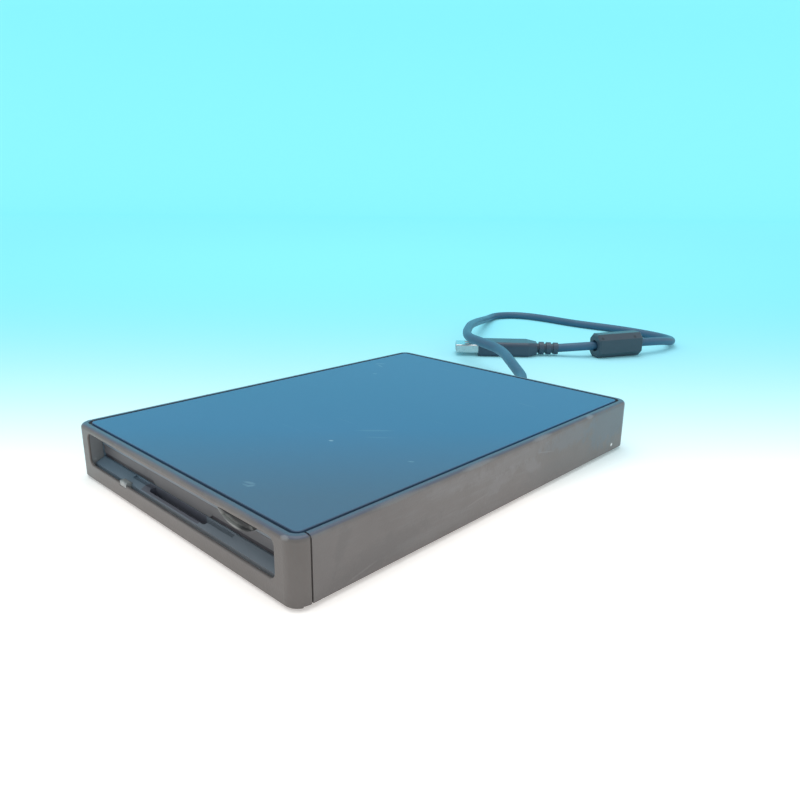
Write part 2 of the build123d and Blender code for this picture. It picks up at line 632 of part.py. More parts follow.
with BuildPart() as disk_holder:
    # folded sheet channel, open below between two narrow ledges
    with BuildSketch(Plane.XZ.offset(-LEVER_PIVOT[1] - 3.6)):
        with Locations((0, (HOLDER_LOW_Z + HOLDER_TOP_Z) / 2)):
            Rectangle(2 * HOLDER_HALF, HOLDER_TOP_Z - HOLDER_LOW_Z)
        with Locations((0, (HOLDER_LOW_Z + HOLDER_TOP_Z) / 2)):
            Rectangle(
                2 * (HOLDER_HALF - SHEET),
                HOLDER_TOP_Z - HOLDER_LOW_Z - 2 * SHEET,
                mode=Mode.SUBTRACT,
            )
        with Locations((0, HOLDER_LOW_Z)):
            Rectangle(2 * (HOLDER_HALF - 4.5), 2 * SHEET, mode=Mode.SUBTRACT)
    extrude(amount=LEVER_PIVOT[1] + 3.6 - HOLDER_FRONT_Y)
    # behind the disk only the lever's corner of the top sheet goes on
    slab(
        (-HOLDER_HALF - 1, HOLDER_REAR_Y, HOLDER_LOW_Z - 1),
        (20, LEVER_PIVOT[1] + 4, HOLDER_TOP_Z + 1),
        mode=Mode.SUBTRACT,
    )
    slab(
        (19, HOLDER_REAR_Y, HOLDER_LOW_Z - 1),
        (HOLDER_HALF + 1, LEVER_PIVOT[1] + 4, HOLDER_TOP_Z - SHEET),
        mode=Mode.SUBTRACT,
    )
    # windows in the top sheet: finger cut, heads, spindle and the lever's arc
    with BuildSketch(Plane.XY.offset(HOLDER_TOP_Z - SHEET)):
        with Locations((0, HOLDER_FRONT_Y)):
            RectangleRounded(34, 12, 3)
        with Locations((0, 14)):
            RectangleRounded(10, 30, 1)
        with Locations((0, HOLDER_REAR_Y)):
            Rectangle(10, 6)
        with Locations((0, SPINDLE_Y)):
            Circle(11)
        with BuildLine():
            lever_path = CenterArc(LEVER_PIVOT, LEVER_REACH, LEVER_START + 2.5, -66.5)
        SlotArc(lever_path, 2.4)
    extrude(amount=SHEET, mode=Mode.SUBTRACT)
    # cam pins on both sides
    with BuildSketch(Plane.YZ.offset(HOLDER_HALF)):
        with Locations(*((y, CAM_Z) for y in CAM_YS)):
            Circle(PIN_RADIUS)
    extrude(amount=2.0)
    with BuildSketch(Plane.YZ.offset(-HOLDER_HALF)):
        with Locations(*((y, CAM_Z) for y in CAM_YS)):
            Circle(PIN_RADIUS)
    extrude(amount=-2.0)
disk_holder.part.label = "disk_holder"
export_step(disk_holder.part, "parts/disk_holder.step")

with BuildPart() as slide_plate:
    # folded sheet channel over the holder
    with BuildSketch(Plane.XZ.offset(-24)):
        with Locations((0, (4.9 + SLIDE_TOP_Z) / 2)):
            Rectangle(2 * SLIDE_HALF, SLIDE_TOP_Z - 4.9)
        with Locations((0, (3.9 + SLIDE_TOP_Z - SHEET) / 2)):
            Rectangle(2 * (SLIDE_HALF - SHEET), SLIDE_TOP_Z - SHEET - 3.9, mode=Mode.SUBTRACT)
    extrude(amount=24 - SLIDE_FRONT_Y)
    # the back half is open over the lever and the heads
    with BuildSketch(Plane.XY.offset(SLIDE_TOP_Z - 1)):
        with Locations((0, 12)):
            RectangleRounded(80, 44, 3)
        with Locations((-18, -42), (10, -42)):
            RectangleRounded(20, 16, 2)
        for x, y in RIVETS:
            with Locations((x, y + EJECT_TRAVEL / 2)):
                SlotCenterToCenter(EJECT_TRAVEL, 2.6, rotation=90)
    extrude(amount=2, mode=Mode.SUBTRACT)
    # slanted cam slots: the holder drops as the plate comes forward
    with BuildSketch(Plane.YZ.offset(-SLIDE_HALF - 1)):
        for y in CAM_YS:
            with Locations((y + EJECT_TRAVEL / 2, CAM_Z - HOLDER_DROP / 2)):
                SlotCenterToCenter(
                    math.hypot(EJECT_TRAVEL, HOLDER_DROP),
                    2 * PIN_RADIUS + 0.2,
                    rotation=-math.degrees(math.atan2(HOLDER_DROP, EJECT_TRAVEL)),
                )
    extrude(amount=2 * SLIDE_HALF + 2, mode=Mode.SUBTRACT)
    # front tab, turned up to carry the button
    slab((25, SLIDE_FRONT_Y - 1.3, SLIDE_TOP_Z - SHEET), (32, SLIDE_FRONT_Y + 1, SLIDE_TOP_Z))
    slab((25, SLIDE_FRONT_Y - 1.3, SLIDE_TOP_Z - SHEET), (32, SLIDE_FRONT_Y - 0.8, 14.0))
slide_plate.part.label = "slide_plate"
export_step(slide_plate.part, "parts/slide_plate.step")

with BuildPart() as slide_rivets:
    # shouldered rivets in the cover that the slide plate runs on
    discs(RIVETS, 1.2, SLIDE_TOP_Z - SHEET - 0.1, SIDE_TOP_Z)
    discs(RIVETS, 2.0, SLIDE_TOP_Z - SHEET - 0.5, SLIDE_TOP_Z - SHEET - 0.1)
slide_rivets.part.label = "slide_rivets"
export_step(slide_rivets.part, "parts/slide_rivets.step")

left_coil = close_wound(Plane(origin=(-30, -27.7, 13.5), z_dir=(0, 1, 0)), 0.9, 0.35, 9)
right_coil = close_wound(Plane(origin=(38, -27.7, 13.5), z_dir=(0, 1, 0)), 0.9, 0.35, 9)
with BuildPart() as eject_springs:
    add(left_coil)
    add(right_coil)
    # hook eyes, bent down to the slide plate
    for x in (-30, 38):
        slab((x - 0.15, -28.2, SLIDE_TOP_Z), (x + 0.15, -27.8, 14.0))
        slab((x - 0.9, -27.85, 13.35), (x + 0.9, -27.55, 13.65))
        slab((x - 0.9, -24.1, 13.35), (x + 0.9, -23.7, 13.65))
        slab((x - 0.15, -23.8, 13.35), (x + 0.15, -21.6, 13.65))
eject_springs.part.label = "eject_springs"
export_step(eject_springs.part, "parts/eject_springs.step")

lever_tip = (
    LEVER_PIVOT[0] + LEVER_REACH * math.cos(math.radians(LEVER_START)),
    LEVER_PIVOT[1] + LEVER_REACH * math.sin(math.radians(LEVER_START)),
)
with BuildPart() as shutter_lever:
    # flat arm round its pivot and its pin
    with BuildSketch(Plane.XY.offset(LEVER_Z)):
        with Locations(LEVER_PIVOT):
            Circle(2.8)
        with Locations(lever_tip):
            Circle(1.5)
        make_hull()
        with Locations(LEVER_PIVOT):
            Circle(1.25, mode=Mode.SUBTRACT)
    extrude(amount=SHEET)
    # pin that pushes the disk's shutter open
    discs((lever_tip,), 0.8, 7.6, LEVER_Z)
shutter_lever.part.label = "shutter_lever"
export_step(shutter_lever.part, "parts/shutter_lever.step")

with BuildPart() as lever_pivot:
    discs((LEVER_PIVOT,), 1.2, HOLDER_TOP_Z, LEVER_Z + SHEET + 0.15)
    discs((LEVER_PIVOT,), 2.2, LEVER_Z + SHEET + 0.1, LEVER_Z + SHEET + 0.5)
    discs((LEVER_PIVOT,), 2.0, HOLDER_TOP_Z, LEVER_Z - 0.05)
lever_pivot.part.label = "lever_pivot"
export_step(lever_pivot.part, "parts/lever_pivot.step")

lever_coil = close_wound(Plane(origin=(37, 18.75, 12.0), z_dir=(0, 1, 0)), 0.75, 0.3, 9)
with BuildPart() as lever_spring:
    add(lever_coil)
    # the end eyes sit on the holder's top sheet
    slab((36.4, 21.8, HOLDER_TOP_Z), (37.6, 22.1, 12.3))
    slab((36.4, 18.6, HOLDER_TOP_Z), (37.6, 18.9, 12.3))
lever_spring.part.label = "lever_spring"
export_step(lever_spring.part, "parts/lever_spring.step")

# ---------------------------------------------------------------- spindle motor

with BuildPart() as motor_board:
    with BuildSketch(Plane.XY.offset(FLOOR_Z - 0.5)):
        with Locations((0, SPINDLE_Y)):
            RectangleRounded(58, 52, 4)
    extrude(amount=0.5)
motor_board.part.label = "motor_board"
export_step(motor_board.part, "parts/motor_board.step")

with BuildPart() as spindle_bearing:
    discs(((0, SPINDLE_Y),), 7.0, FLOOR_Z, FLOOR_Z + 0.3)
    discs(((0, SPINDLE_Y),), 4.5, FLOOR_Z, 4.3)
    discs(((0, SPINDLE_Y),), 2.04, FLOOR_Z, 4.3, mode=Mode.SUBTRACT)
spindle_bearing.part.label = "spindle_bearing"
export_step(spindle_bearing.part, "parts/spindle_bearing.step")

with BuildPart() as stator:
    # nine wound teeth round a ring that sits on the bearing's flange
    with BuildSketch(Plane.XY.offset(FLOOR_Z + 0.3)):
        with Locations((0, SPINDLE_Y)):
            Circle(8.0)
            Circle(4.6, mode=Mode.SUBTRACT)
            with PolarLocations(12.5, 9):
                Rectangle(11, 2.4)
            with PolarLocations(17.6, 9):
                Rectangle(1.6, 6.0)
    extrude(amount=0.9)
    with BuildSketch(Plane.XY.offset(FLOOR_Z + 0.15)):
        with Locations((0, SPINDLE_Y)):
            with PolarLocations(12.6, 9):
                RectangleRounded(6.4, 4.6, 0.8)
    extrude(amount=1.2)
stator.part.label = "stator"
export_step(stator.part, "parts/stator.step")

with BuildPart() as rotor_cup:
    discs(((0, SPINDLE_Y),), ROTOR_RADIUS, 3.3, 5.0)
    discs(((0, SPINDLE_Y),), ROTOR_RADIUS - SHEET, 3.3, 4.5, mode=Mode.SUBTRACT)
    discs(((0, SPINDLE_Y),), 2.0, 4.5, 5.0, mode=Mode.SUBTRACT)
rotor_cup.part.label = "rotor_cup"
export_step(rotor_cup.part, "parts/rotor_cup.step")

with BuildPart() as rotor_magnet:
    discs(((0, SPINDLE_Y),), ROTOR_RADIUS - SHEET, 3.4, 4.5)
    discs(((0, SPINDLE_Y),), ROTOR_RADIUS - 1.9, 3.4, 4.5, mode=Mode.SUBTRACT)
rotor_magnet.part.label = "rotor_magnet"
export_step(rotor_magnet.part, "parts/rotor_magnet.step")

with BuildPart() as spindle_hub:
    # shaft with its centring nose and the magnetic chuck
    with BuildSketch(Plane.XZ.offset(-SPINDLE_Y)):
        with BuildLine():
            Polyline(
                (0, 2.95),
                (2.0, 2.95),
                (2.0, 5.0),
                (9.6, 5.0),
                (9.6, 5.3),
                (2.0, 5.3),
                (2.0, 6.3),
                (1.5, 6.8),
                (0, 6.8),
                close=True,
            )
        make_face()
    revolve(axis=Axis((0, SPINDLE_Y, 0), (0, 0, 1)))
spindle_hub.part.label = "spindle_hub"
export_step(spindle_hub.part, "parts/spindle_hub.step")

with BuildPart() as drive_pin:
    discs(((0, SPINDLE_Y + 7.6),), 1.0, 5.3, 6.4)
    chamfer(drive_pin.edges().group_by(Axis.Z)[-1], 0.3)
drive_pin.part.label = "drive_pin"
export_step(drive_pin.part, "parts/drive_pin.step")

# ---------------------------------------------------------------- heads and their drive

with BuildPart() as head_carriage:
    # body behind the disk
    with BuildSketch(Plane.XY.offset(4.0)):
        with BuildLine():
            Polyline(
                (-13, CARRIAGE_FRONT_Y),
                (15, CARRIAGE_FRONT_Y),
                (15, CARRIAGE_REAR_Y),
                (-9, CARRIAGE_REAR_Y),
                (-13, CARRIAGE_REAR_Y - 5),
                close=True,
            )
        make_face()
    extrude(amount=CARRIAGE_TOP_Z - 4.0)
    # tapered tongue that carries the lower head under the disk
    with BuildSketch(Plane.XY.offset(3.9)):
        with BuildLine():
            Polyline(
                (-3.4, HEAD_Y - 2.8),
                (3.4, HEAD_Y - 2.8),
                (8.5, CARRIAGE_FRONT_Y + 1),
                (-8.5, CARRIAGE_FRONT_Y + 1),
                close=True,
            )
        make_face()
    extrude(amount=1.0)
    # saddle under the arm, with an ear at each end for its hinge
    slab((-10.2, ARM_AXIS_Y - 1.6, CARRIAGE_TOP_Z), (10.2, ARM_AXIS_Y + 2, ARM_AXIS_Z - 1.15))
    for low_x, high_x in ((-10.2, -8.9), (8.9, 10.2)):
        slab((low_x, ARM_AXIS_Y - 1.2, CARRIAGE_TOP_Z), (high_x, ARM_AXIS_Y + 1.2, ARM_AXIS_Z + 1))
    with BuildSketch(Plane.YZ.offset(-10.2)):
        with Locations((ARM_AXIS_Y, ARM_AXIS_Z)):
            Circle(ARM_PIN_RADIUS)
    extrude(amount=20.4, mode=Mode.SUBTRACT)
    # hollow that lightens the body
    slab((-6, 46.5, 5.2), (6, 51.5, CARRIAGE_TOP_Z), mode=Mode.SUBTRACT)
    # follower that rides on the lead screw
    slab((SCREW_X - 2.6, CARRIAGE_FRONT_Y, 6.0), (-12.5, CARRIAGE_FRONT_Y + 3, 10.2))
    # flag of the track sensor
    slab((14.5, 50.6, 7.5), (19.2, 56.5, 8.0))
    # bores for the guide rod and the lead screw
    with BuildSketch(Plane.XZ.offset(-CARRIAGE_REAR_Y - 1)):
        with Locations((ROD_X, ROD_Z)):
            Circle(ROD_RADIUS + 0.04)
    extrude(amount=CARRIAGE_REAR_Y - CARRIAGE_FRONT_Y + 2, mode=Mode.SUBTRACT)
    with BuildSketch(Plane.XZ.offset(-CARRIAGE_FRONT_Y - 3)):
        with Locations((SCREW_X, SCREW_Z)):
            Circle(SCREW_RADIUS + 0.05)
    extrude(amount=3, mode=Mode.SUBTRACT)
head_carriage.part.label = "head_carriage"
export_step(head_carriage.part, "parts/head_carriage.step")

with BuildPart() as lower_head:
    slab((-2.2, HEAD_Y - 2.4, 4.9), (2.2, HEAD_Y + 2.4, 6.2))
    slab((-1.5, HEAD_Y - 1.8, 6.2), (1.5, HEAD_Y + 1.8, 6.8))
lower_head.part.label = "lower_head"
export_step(lower_head.part, "parts/lower_head.step")

with BuildPart() as head_arm:
    # long thin arm, wide at its hinge
    with BuildSketch(Plane.XY.offset(12.0)):
        with BuildLine():
            Polyline(
                (-3.2, HEAD_Y - 3.2),
                (3.2, HEAD_Y - 3.2),
                (4.0, 34),
                (8.5, 51),
                (8.5, 56.4),
                (-8.5, 56.4),
                (-8.5, 51),
                (-4.0, 34),
                close=True,
            )
        make_face()
        with Locations((0, 41)):
            RectangleRounded(4.4, 12, 1.5, mode=Mode.SUBTRACT)
    extrude(amount=0.7)
    # a knuckle at each side, bored from outside for its pin
    for side_plane in (Plane.YZ, Plane.YZ.rotated((0, 0, 180))):
        across = 1 if side_plane.z_dir.X > 0 else -1
        with BuildSketch(side_plane.offset(5.0)):
            with Locations((across * ARM_AXIS_Y, ARM_AXIS_Z)):
                Circle(ARM_PIN_RADIUS + 0.45)
        extrude(amount=3.5)
        with BuildSketch(side_plane.offset(5.4)):
            with Locations((across * ARM_AXIS_Y, ARM_AXIS_Z)):
                Circle(ARM_PIN_RADIUS + 0.04)
        extrude(amount=3.2, mode=Mode.SUBTRACT)
head_arm.part.label = "head_arm"
export_step(head_arm.part, "parts/head_arm.step")

with BuildPart() as arm_pins:
    for start_x in (-10.2, 5.6):
        with BuildSketch(Plane.YZ.offset(start_x)):
            with Locations((ARM_AXIS_Y, ARM_AXIS_Z)):
                Circle(ARM_PIN_RADIUS)
        extrude(amount=4.6)
arm_pins.part.label = "arm_pins"
export_step(arm_pins.part, "parts/arm_pins.step")

with BuildPart() as upper_head:
    slab((-2.2, HEAD_Y - 2.4, 11.4), (2.2, HEAD_Y + 2.4, 12.0))
    slab((-1.5, HEAD_Y - 1.8, 10.9), (1.5, HEAD_Y + 1.8, 11.4))
upper_head.part.label = "upper_head"
export_step(upper_head.part, "parts/upper_head.step")

with BuildPart() as arm_spring:
    # leaf spring clamped on the saddle that presses the arm down
    with BuildSketch(Plane.YZ.offset(-2.5)):
        with BuildLine():
            Polyline(
                (57.0, 11.0),
                (57.25, 11.0),
                (57.25, 13.3),
                (46.0, 13.3),
                (44.0, 12.95),
                (44.0, 12.75),
                (46.0, 13.1),
                (57.0, 13.1),
                close=True,
            )
        make_face()
    extrude(amount=5.0)
    slab((-2.5, 56.5, 11.0), (2.5, 57.25, 11.3))
arm_spring.part.label = "arm_spring"
export_step(arm_spring.part, "parts/arm_spring.step")

with BuildPart() as guide_rod:
    with BuildSketch(Plane.XZ.offset(-DRIVE_REAR_Y + SIDE_SHEET)):
        with Locations((ROD_X, ROD_Z)):
            Circle(ROD_RADIUS)
    extrude(amount=DRIVE_REAR_Y - SIDE_SHEET - CLAMP_Y)
guide_rod.part.label = "guide_rod"
export_step(guide_rod.part, "parts/guide_rod.step")

with BuildPart() as rod_clamps:
    # a saddle for each end of the rod and a bearing for the tip of the screw
    slab((ROD_X - 2.4, CLAMP_Y, FLOOR_TOP_Z), (ROD_X + 2.4, CLAMP_Y + 1, 8.6))
    slab((ROD_X - 2.4, 57.4, FLOOR_TOP_Z), (ROD_X + 2.4, DRIVE_REAR_Y - SIDE_SHEET, 8.8))
    slab((SCREW_X - 2.4, CLAMP_Y, FLOOR_TOP_Z), (SCREW_X + 2.4, CLAMP_Y + 1, 10.2))
    with BuildSketch(Plane.XZ.offset(-DRIVE_REAR_Y)):
        with Locations((ROD_X, ROD_Z)):
            Circle(ROD_RADIUS)
    extrude(amount=DRIVE_REAR_Y - CLAMP_Y, mode=Mode.SUBTRACT)
    with BuildSketch(Plane.XZ.offset(-CLAMP_Y - 1)):
        with Locations((SCREW_X, SCREW_Z)):
            Circle(SCREW_RADIUS + 0.05)
    extrude(amount=1, mode=Mode.SUBTRACT)
rod_clamps.part.label = "rod_clamps"
export_step(rod_clamps.part, "parts/rod_clamps.step")

with BuildPart() as lead_screw:
    with BuildSketch(Plane.XZ.offset(-50.5)):
        with Locations((SCREW_X, SCREW_Z)):
            Circle(SCREW_RADIUS)
    extrude(amount=50.5 - CLAMP_Y)
lead_screw.part.label = "lead_screw"
export_step(lead_screw.part, "parts/lead_screw.step")

with BuildPart() as stepper_motor:
    with BuildSketch(Plane.XZ.offset(-57.6)):
        with Locations((SCREW_X, SCREW_Z)):
            Circle(4.4)
    extrude(amount=9.0)
    with BuildSketch(Plane.XZ.offset(-51)):
        with Locations((SCREW_X, SCREW_Z)):
            Circle(SCREW_RADIUS + 0.06)
    extrude(amount=3, mode=Mode.SUBTRACT)
    # mounting flange down to the floor
    slab((SCREW_X - 5, 56.4, FLOOR_TOP_Z), (SCREW_X + 3.5, 57.6, 6.0))
stepper_motor.part.label = "stepper_motor"
export_step(stepper_motor.part, "parts/stepper_motor.step")

# ---------------------------------------------------------------- electronics

with BuildPart() as control_board:
    with BuildSketch(Plane.XY.offset(4.6)):
        with Locations((32, 45)):
            Rectangle(29, 25.6)
    extrude(amount=0.8)
control_board.part.label = "control_board"
export_step(control_board.part, "parts/control_board.step")

with BuildPart() as control_chips:
    # controller, motor driver, head amplifier and two sockets
    slab((24, 38, 5.4), (34, 48, 6.6))
    slab((36.5, 36, 5.4), (42.5, 42, 6.4))
    slab((37, 46, 5.4), (41, 51, 6.4))
    slab((24, 52.5, 5.4), (38, 56, 7.2))
control_chips.part.label = "control_chips"
export_step(control_chips.part, "parts/control_chips.step")

with BuildPart() as track_sensor:
    # forked light barrier that sees the carriage's flag
    with BuildSketch(Plane.XZ.offset(-54.5)):
        with Locations((20.0, 7.4)):
            Rectangle(4.0, 4.0)
        with Locations((19.0, 7.75)):
            Rectangle(2.6, 1.3, mode=Mode.SUBTRACT)
    extrude(amount=4.0)
track_sensor.part.label = "track_sensor"
export_step(track_sensor.part, "parts/track_sensor.step")

SWITCHES = {
    "media_plunger": (-37.0, -53.0),
    "density_plunger": (-39.4, -57.5),
    "protect_plunger": (39.4, -57.5),
}

with BuildPart() as switch_blocks:
    slab((-41, -60, FLOOR_TOP_Z), (-34, -51, 4.9))
    slab((35, -60, FLOOR_TOP_Z), (41, -54, 4.9))
    discs(tuple(SWITCHES.values()), 0.76, FLOOR_TOP_Z, 4.9, mode=Mode.SUBTRACT)
switch_blocks.part.label = "switch_blocks"
export_step(switch_blocks.part, "parts/switch_blocks.step")

for plunger_name, place in SWITCHES.items():
    with BuildPart() as plunger:
        discs((place,), 0.7, 4.65, 6.4)
        fillet(plunger.edges().group_by(Axis.Z)[-1], 0.3)
    plunger.part.label = plunger_name
    export_step(plunger.part, f"parts/{plunger_name}.step")

with BuildPart() as usb_board:
    with BuildSketch(Plane.XY.offset(5.0)):
        with Locations((-4, 63.5)):
            Rectangle(56, 6.4)
    extrude(amount=0.8)
usb_board.part.label = "usb_board"
export_step(usb_board.part, "parts/usb_board.step")

with BuildPart() as usb_chips:
    # bridge chip, crystal can and the header that the cord plugs on
    slab((-26, 61.0, 5.8), (-20, 66.2, 7.0))
    slab((-16, 62.2, 5.8), (-9, 65.2, 8.6))
    slab((6, 61.5, 5.8), (14, 66.0, 10.2))
    slab((-34, 60.0, 5.0), (-32.2, 66.4, 5.8))
usb_chips.part.label = "usb_chips"
export_step(usb_chips.part, "parts/usb_chips.step")

with BuildPart() as drive_ribbon:
    # flat ribbon from the drive through the chassis's back window
    slab((-35.5, 50.0, 6.2), (-24.5, 61.0, 6.4))
    slab((-35.5, 50.0, FLOOR_TOP_Z), (-24.5, 52.0, 6.2))
drive_ribbon.part.label = "drive_ribbon"
export_step(drive_ribbon.part, "parts/drive_ribbon.step")

# ---------------------------------------------------------------- cord, ferrite and plug

with BuildPart() as cord_boot:
    # grommet neck in the wall, collars on both sides and a tapering ribbed boot
    with BuildSketch(Plane.XY.offset(EXIT_Z)):
        with BuildLine():
            Polyline(
                (CORD_RADIUS + 0.05, REAR_Y - WALL - 1.3),
                (4.9, REAR_Y - WALL - 1.3),
                (4.9, REAR_Y - WALL),
                (3.6, REAR_Y - WALL),
                (3.6, REAR_Y),
                (4.7, REAR_Y),
                (4.4, REAR_Y + 1.4),
                (3.3, REAR_Y + 1.9),
                (3.3, REAR_Y + 2.7),
                (3.95, REAR_Y + 2.7),
                (3.85, REAR_Y + 3.9),
                (3.1, REAR_Y + 3.9),
                (3.1, REAR_Y + 4.7),
                (3.6, REAR_Y + 4.7),
                (3.5, REAR_Y + 5.9),
                (2.9, REAR_Y + 5.9),
                (2.9, REAR_Y + 6.7),
                (3.2, REAR_Y + 6.7),
                (3.0, REAR_Y + BOOT_LENGTH),
                (CORD_RADIUS + 0.05, REAR_Y + BOOT_LENGTH),
                close=True,
            )
        make_face()
    revolve(axis=Axis((0, 0, EXIT_Z), (0, 1, 0)))
cord_boot.part.label = "cord_boot"
export_step(cord_boot.part, "parts/cord_boot.step")


def corner_radius(before, corner, after):
    """The largest tangent arc that a corner of the cord's route allows."""
    arriving = Vector(*corner) - Vector(*before)
    leaving = Vector(*after) - Vector(*corner)
    turn = math.radians(arriving.get_angle(leaving))
    shorter = min(arriving.length, leaving.length)
    return 0.45 * shorter / math.tan(turn / 2)


cord_radii = [corner_radius(*CORD_ROUTE[i - 1:i + 2]) for i in range(1, len(CORD_ROUTE) - 1)]
with BuildPart() as usb_cord:
    with BuildLine():
        cord_line = FilletPolyline(*CORD_ROUTE, radius=cord_radii)
    with BuildSketch(Plane(origin=cord_line @ 0, z_dir=cord_line % 0)):
        Circle(CORD_RADIUS)
    sweep(path=cord_line)
usb_cord.part.label = "usb_cord"
export_step(usb_cord.part, "parts/usb_cord.step")
print("cord radii", [round(radius, 1) for radius in cord_radii])
print("cord length", round(cord_line.length, 1))
print(
    "tube volume over section x length",
    round(usb_cord.part.volume / (math.pi * CORD_RADIUS ** 2 * cord_line.length), 4),
)

ferrite_plane = Plane(origin=FERRITE_END, x_dir=FERRITE_SIDE, z_dir=FERRITE_DIRECTION)


def ferrite_half(low, high):
    """One half of the snap-on case, between two heights above the cord's axis."""
    with BuildPart() as half:
        with BuildSketch(ferrite_plane):
            section = Rectangle(FERRITE_WIDTH, FERRITE_HEIGHT)
            chamfer(section.vertices(), 2.8)
        extrude(amount=FERRITE_LENGTH)
        chamfer(half.faces().filter_by(ferrite_plane).edges(), 0.8)
        with BuildSketch(ferrite_plane.offset(2.5)):
            Circle(4.7)
        extrude(amount=FERRITE_LENGTH - 5, mode=Mode.SUBTRACT)
        with BuildSketch(ferrite_plane):
            Circle(CORD_RADIUS + 0.65)
        extrude(amount=FERRITE_LENGTH, mode=Mode.SUBTRACT)
        with BuildSketch(ferrite_plane):
            with Locations((0, (low + high) / 2)):
                Rectangle(20, high - low)
        extrude(amount=FERRITE_LENGTH, mode=Mode.INTERSECT)
    return half.part


ferrite_up = ferrite_half(0.0, 7.0)
ferrite_down = ferrite_half(-7.0, 0.0)
with BuildPart() as ferrite_case_upper:
    add(ferrite_up)
    # two small latch holes in the upper slope
    slope_up = Vector(0, 0, 1) - Vector(*FERRITE_SIDE)
    for along in (2.8, FERRITE_LENGTH - 4.2):
        latch = ferrite_plane.offset(along).origin + slope_up * 4.5 + Vector(*FERRITE_SIDE) * 0.5
        with BuildSketch(Plane(origin=latch + slope_up * 0.2, z_dir=slope_up)):
            Circle(0.75)
        extrude(amount=-1.3, mode=Mode.SUBTRACT)
ferrite_case_upper.part.label = "ferrite_case_upper"
export_step(ferrite_case_upper.part, "parts/ferrite_case_upper.step")

with BuildPart() as ferrite_case_lower:
    add(ferrite_down)
ferrite_case_lower.part.label = "ferrite_case_lower"
export_step(ferrite_case_lower.part, "parts/ferrite_case_lower.step")

with BuildPart() as ferrite_core:
    with BuildSketch(ferrite_plane.offset(2.6)):
        Circle(4.6)
        Circle(CORD_RADIUS + 0.2, mode=Mode.SUBTRACT)
    extrude(amount=FERRITE_LENGTH - 5.2)
ferrite_core.part.label = "ferrite_core"
export_step(ferrite_core.part, "parts/ferrite_core.step")

plug_plane = Plane(origin=PLUG_END, x_dir=PLUG_SIDE, z_dir=PLUG_DIRECTION)
GRIP_END = RELIEF_LENGTH + GRIP_LENGTH

with BuildPart() as plug_body:
    # ribbed relief
    with BuildSketch(plug_plane):
        Circle(CORD_RADIUS + 0.25)
    extrude(amount=RELIEF_LENGTH)
    for ring in range(3):
        with BuildSketch(plug_plane.offset(ring * RIB_PITCH)):
            Circle(3.2 + 0.15 * ring)
        extrude(amount=RIB_LENGTH)
    # flattened grip that swells from the relief
    with BuildSketch(plug_plane.offset(RELIEF_LENGTH)):
        RectangleRounded(9.0, 6.6, 2.4)
    with BuildSketch(plug_plane.offset(RELIEF_LENGTH + 5)):
        RectangleRounded(14.6, 7.8, 2.0)
    loft()
    with BuildSketch(plug_plane.offset(RELIEF_LENGTH + 5)):
        RectangleRounded(14.6, 7.8, 2.0)
    extrude(amount=GRIP_LENGTH - 5)
plug_body.part.label = "plug_body"
export_step(plug_body.part, "parts/plug_body.step")

with BuildPart() as plug_shell:
    with BuildSketch(plug_plane.offset(GRIP_END)):
        RectangleRounded(12.0, 4.5, 0.6)
        RectangleRounded(11.4, 3.9, 0.3, mode=Mode.SUBTRACT)
    extrude(amount=SHELL_LENGTH)
    # latch windows through both broad faces
    shell_top = Plane(
        origin=Vector(*PLUG_END) + Vector(*PLUG_DIRECTION) * (GRIP_END + 6.0),
        x_dir=PLUG_SIDE,
        z_dir=(0, 0, 1),
    )
    with BuildSketch(shell_top.offset(-5)):
        with Locations((-2.8, 0), (2.8, 0)):
            Rectangle(2.3, 2.3)
    extrude(amount=10, mode=Mode.SUBTRACT)
plug_shell.part.label = "plug_shell"
export_step(plug_shell.part, "parts/plug_shell.step")

with BuildPart() as plug_tongue:
    with BuildSketch(plug_plane.offset(GRIP_END)):
        with Locations((0, 0.95)):
            Rectangle(11.2, 1.9)
    extrude(amount=SHELL_LENGTH - 0.6)
plug_tongue.part.label = "plug_tongue"
export_step(plug_tongue.part, "parts/plug_tongue.step")

with BuildPart() as plug_contacts:
    with BuildSketch(plug_plane.offset(GRIP_END)):
        with Locations((-3.5, -0.1), (-1.0, -0.1), (1.0, -0.1), (3.5, -0.1)):
            Rectangle(1.0, 0.2)
    extrude(amount=SHELL_LENGTH - 1.5)
plug_contacts.part.label = "plug_contacts"
export_step(plug_contacts.part, "parts/plug_contacts.step")
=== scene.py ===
import math

import bpy
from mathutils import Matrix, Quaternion, Vector


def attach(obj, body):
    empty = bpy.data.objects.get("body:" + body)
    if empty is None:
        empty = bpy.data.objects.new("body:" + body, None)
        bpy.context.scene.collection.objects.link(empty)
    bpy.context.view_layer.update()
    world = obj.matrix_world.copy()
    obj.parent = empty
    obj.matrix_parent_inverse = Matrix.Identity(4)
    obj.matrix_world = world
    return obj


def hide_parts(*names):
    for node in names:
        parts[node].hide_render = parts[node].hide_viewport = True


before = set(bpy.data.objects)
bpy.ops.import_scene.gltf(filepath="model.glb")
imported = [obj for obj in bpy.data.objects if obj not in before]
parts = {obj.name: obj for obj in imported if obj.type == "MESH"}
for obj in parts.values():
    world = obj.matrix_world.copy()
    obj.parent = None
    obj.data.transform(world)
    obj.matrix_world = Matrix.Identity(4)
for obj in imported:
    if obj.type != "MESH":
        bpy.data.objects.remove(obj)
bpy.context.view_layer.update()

# ------------------------------------------------------------------ camera
# A handheld camera a little above the table, off the case's front right corner.
# Its place is in the part's own frame, and its lens is given for a 36 mm frame.

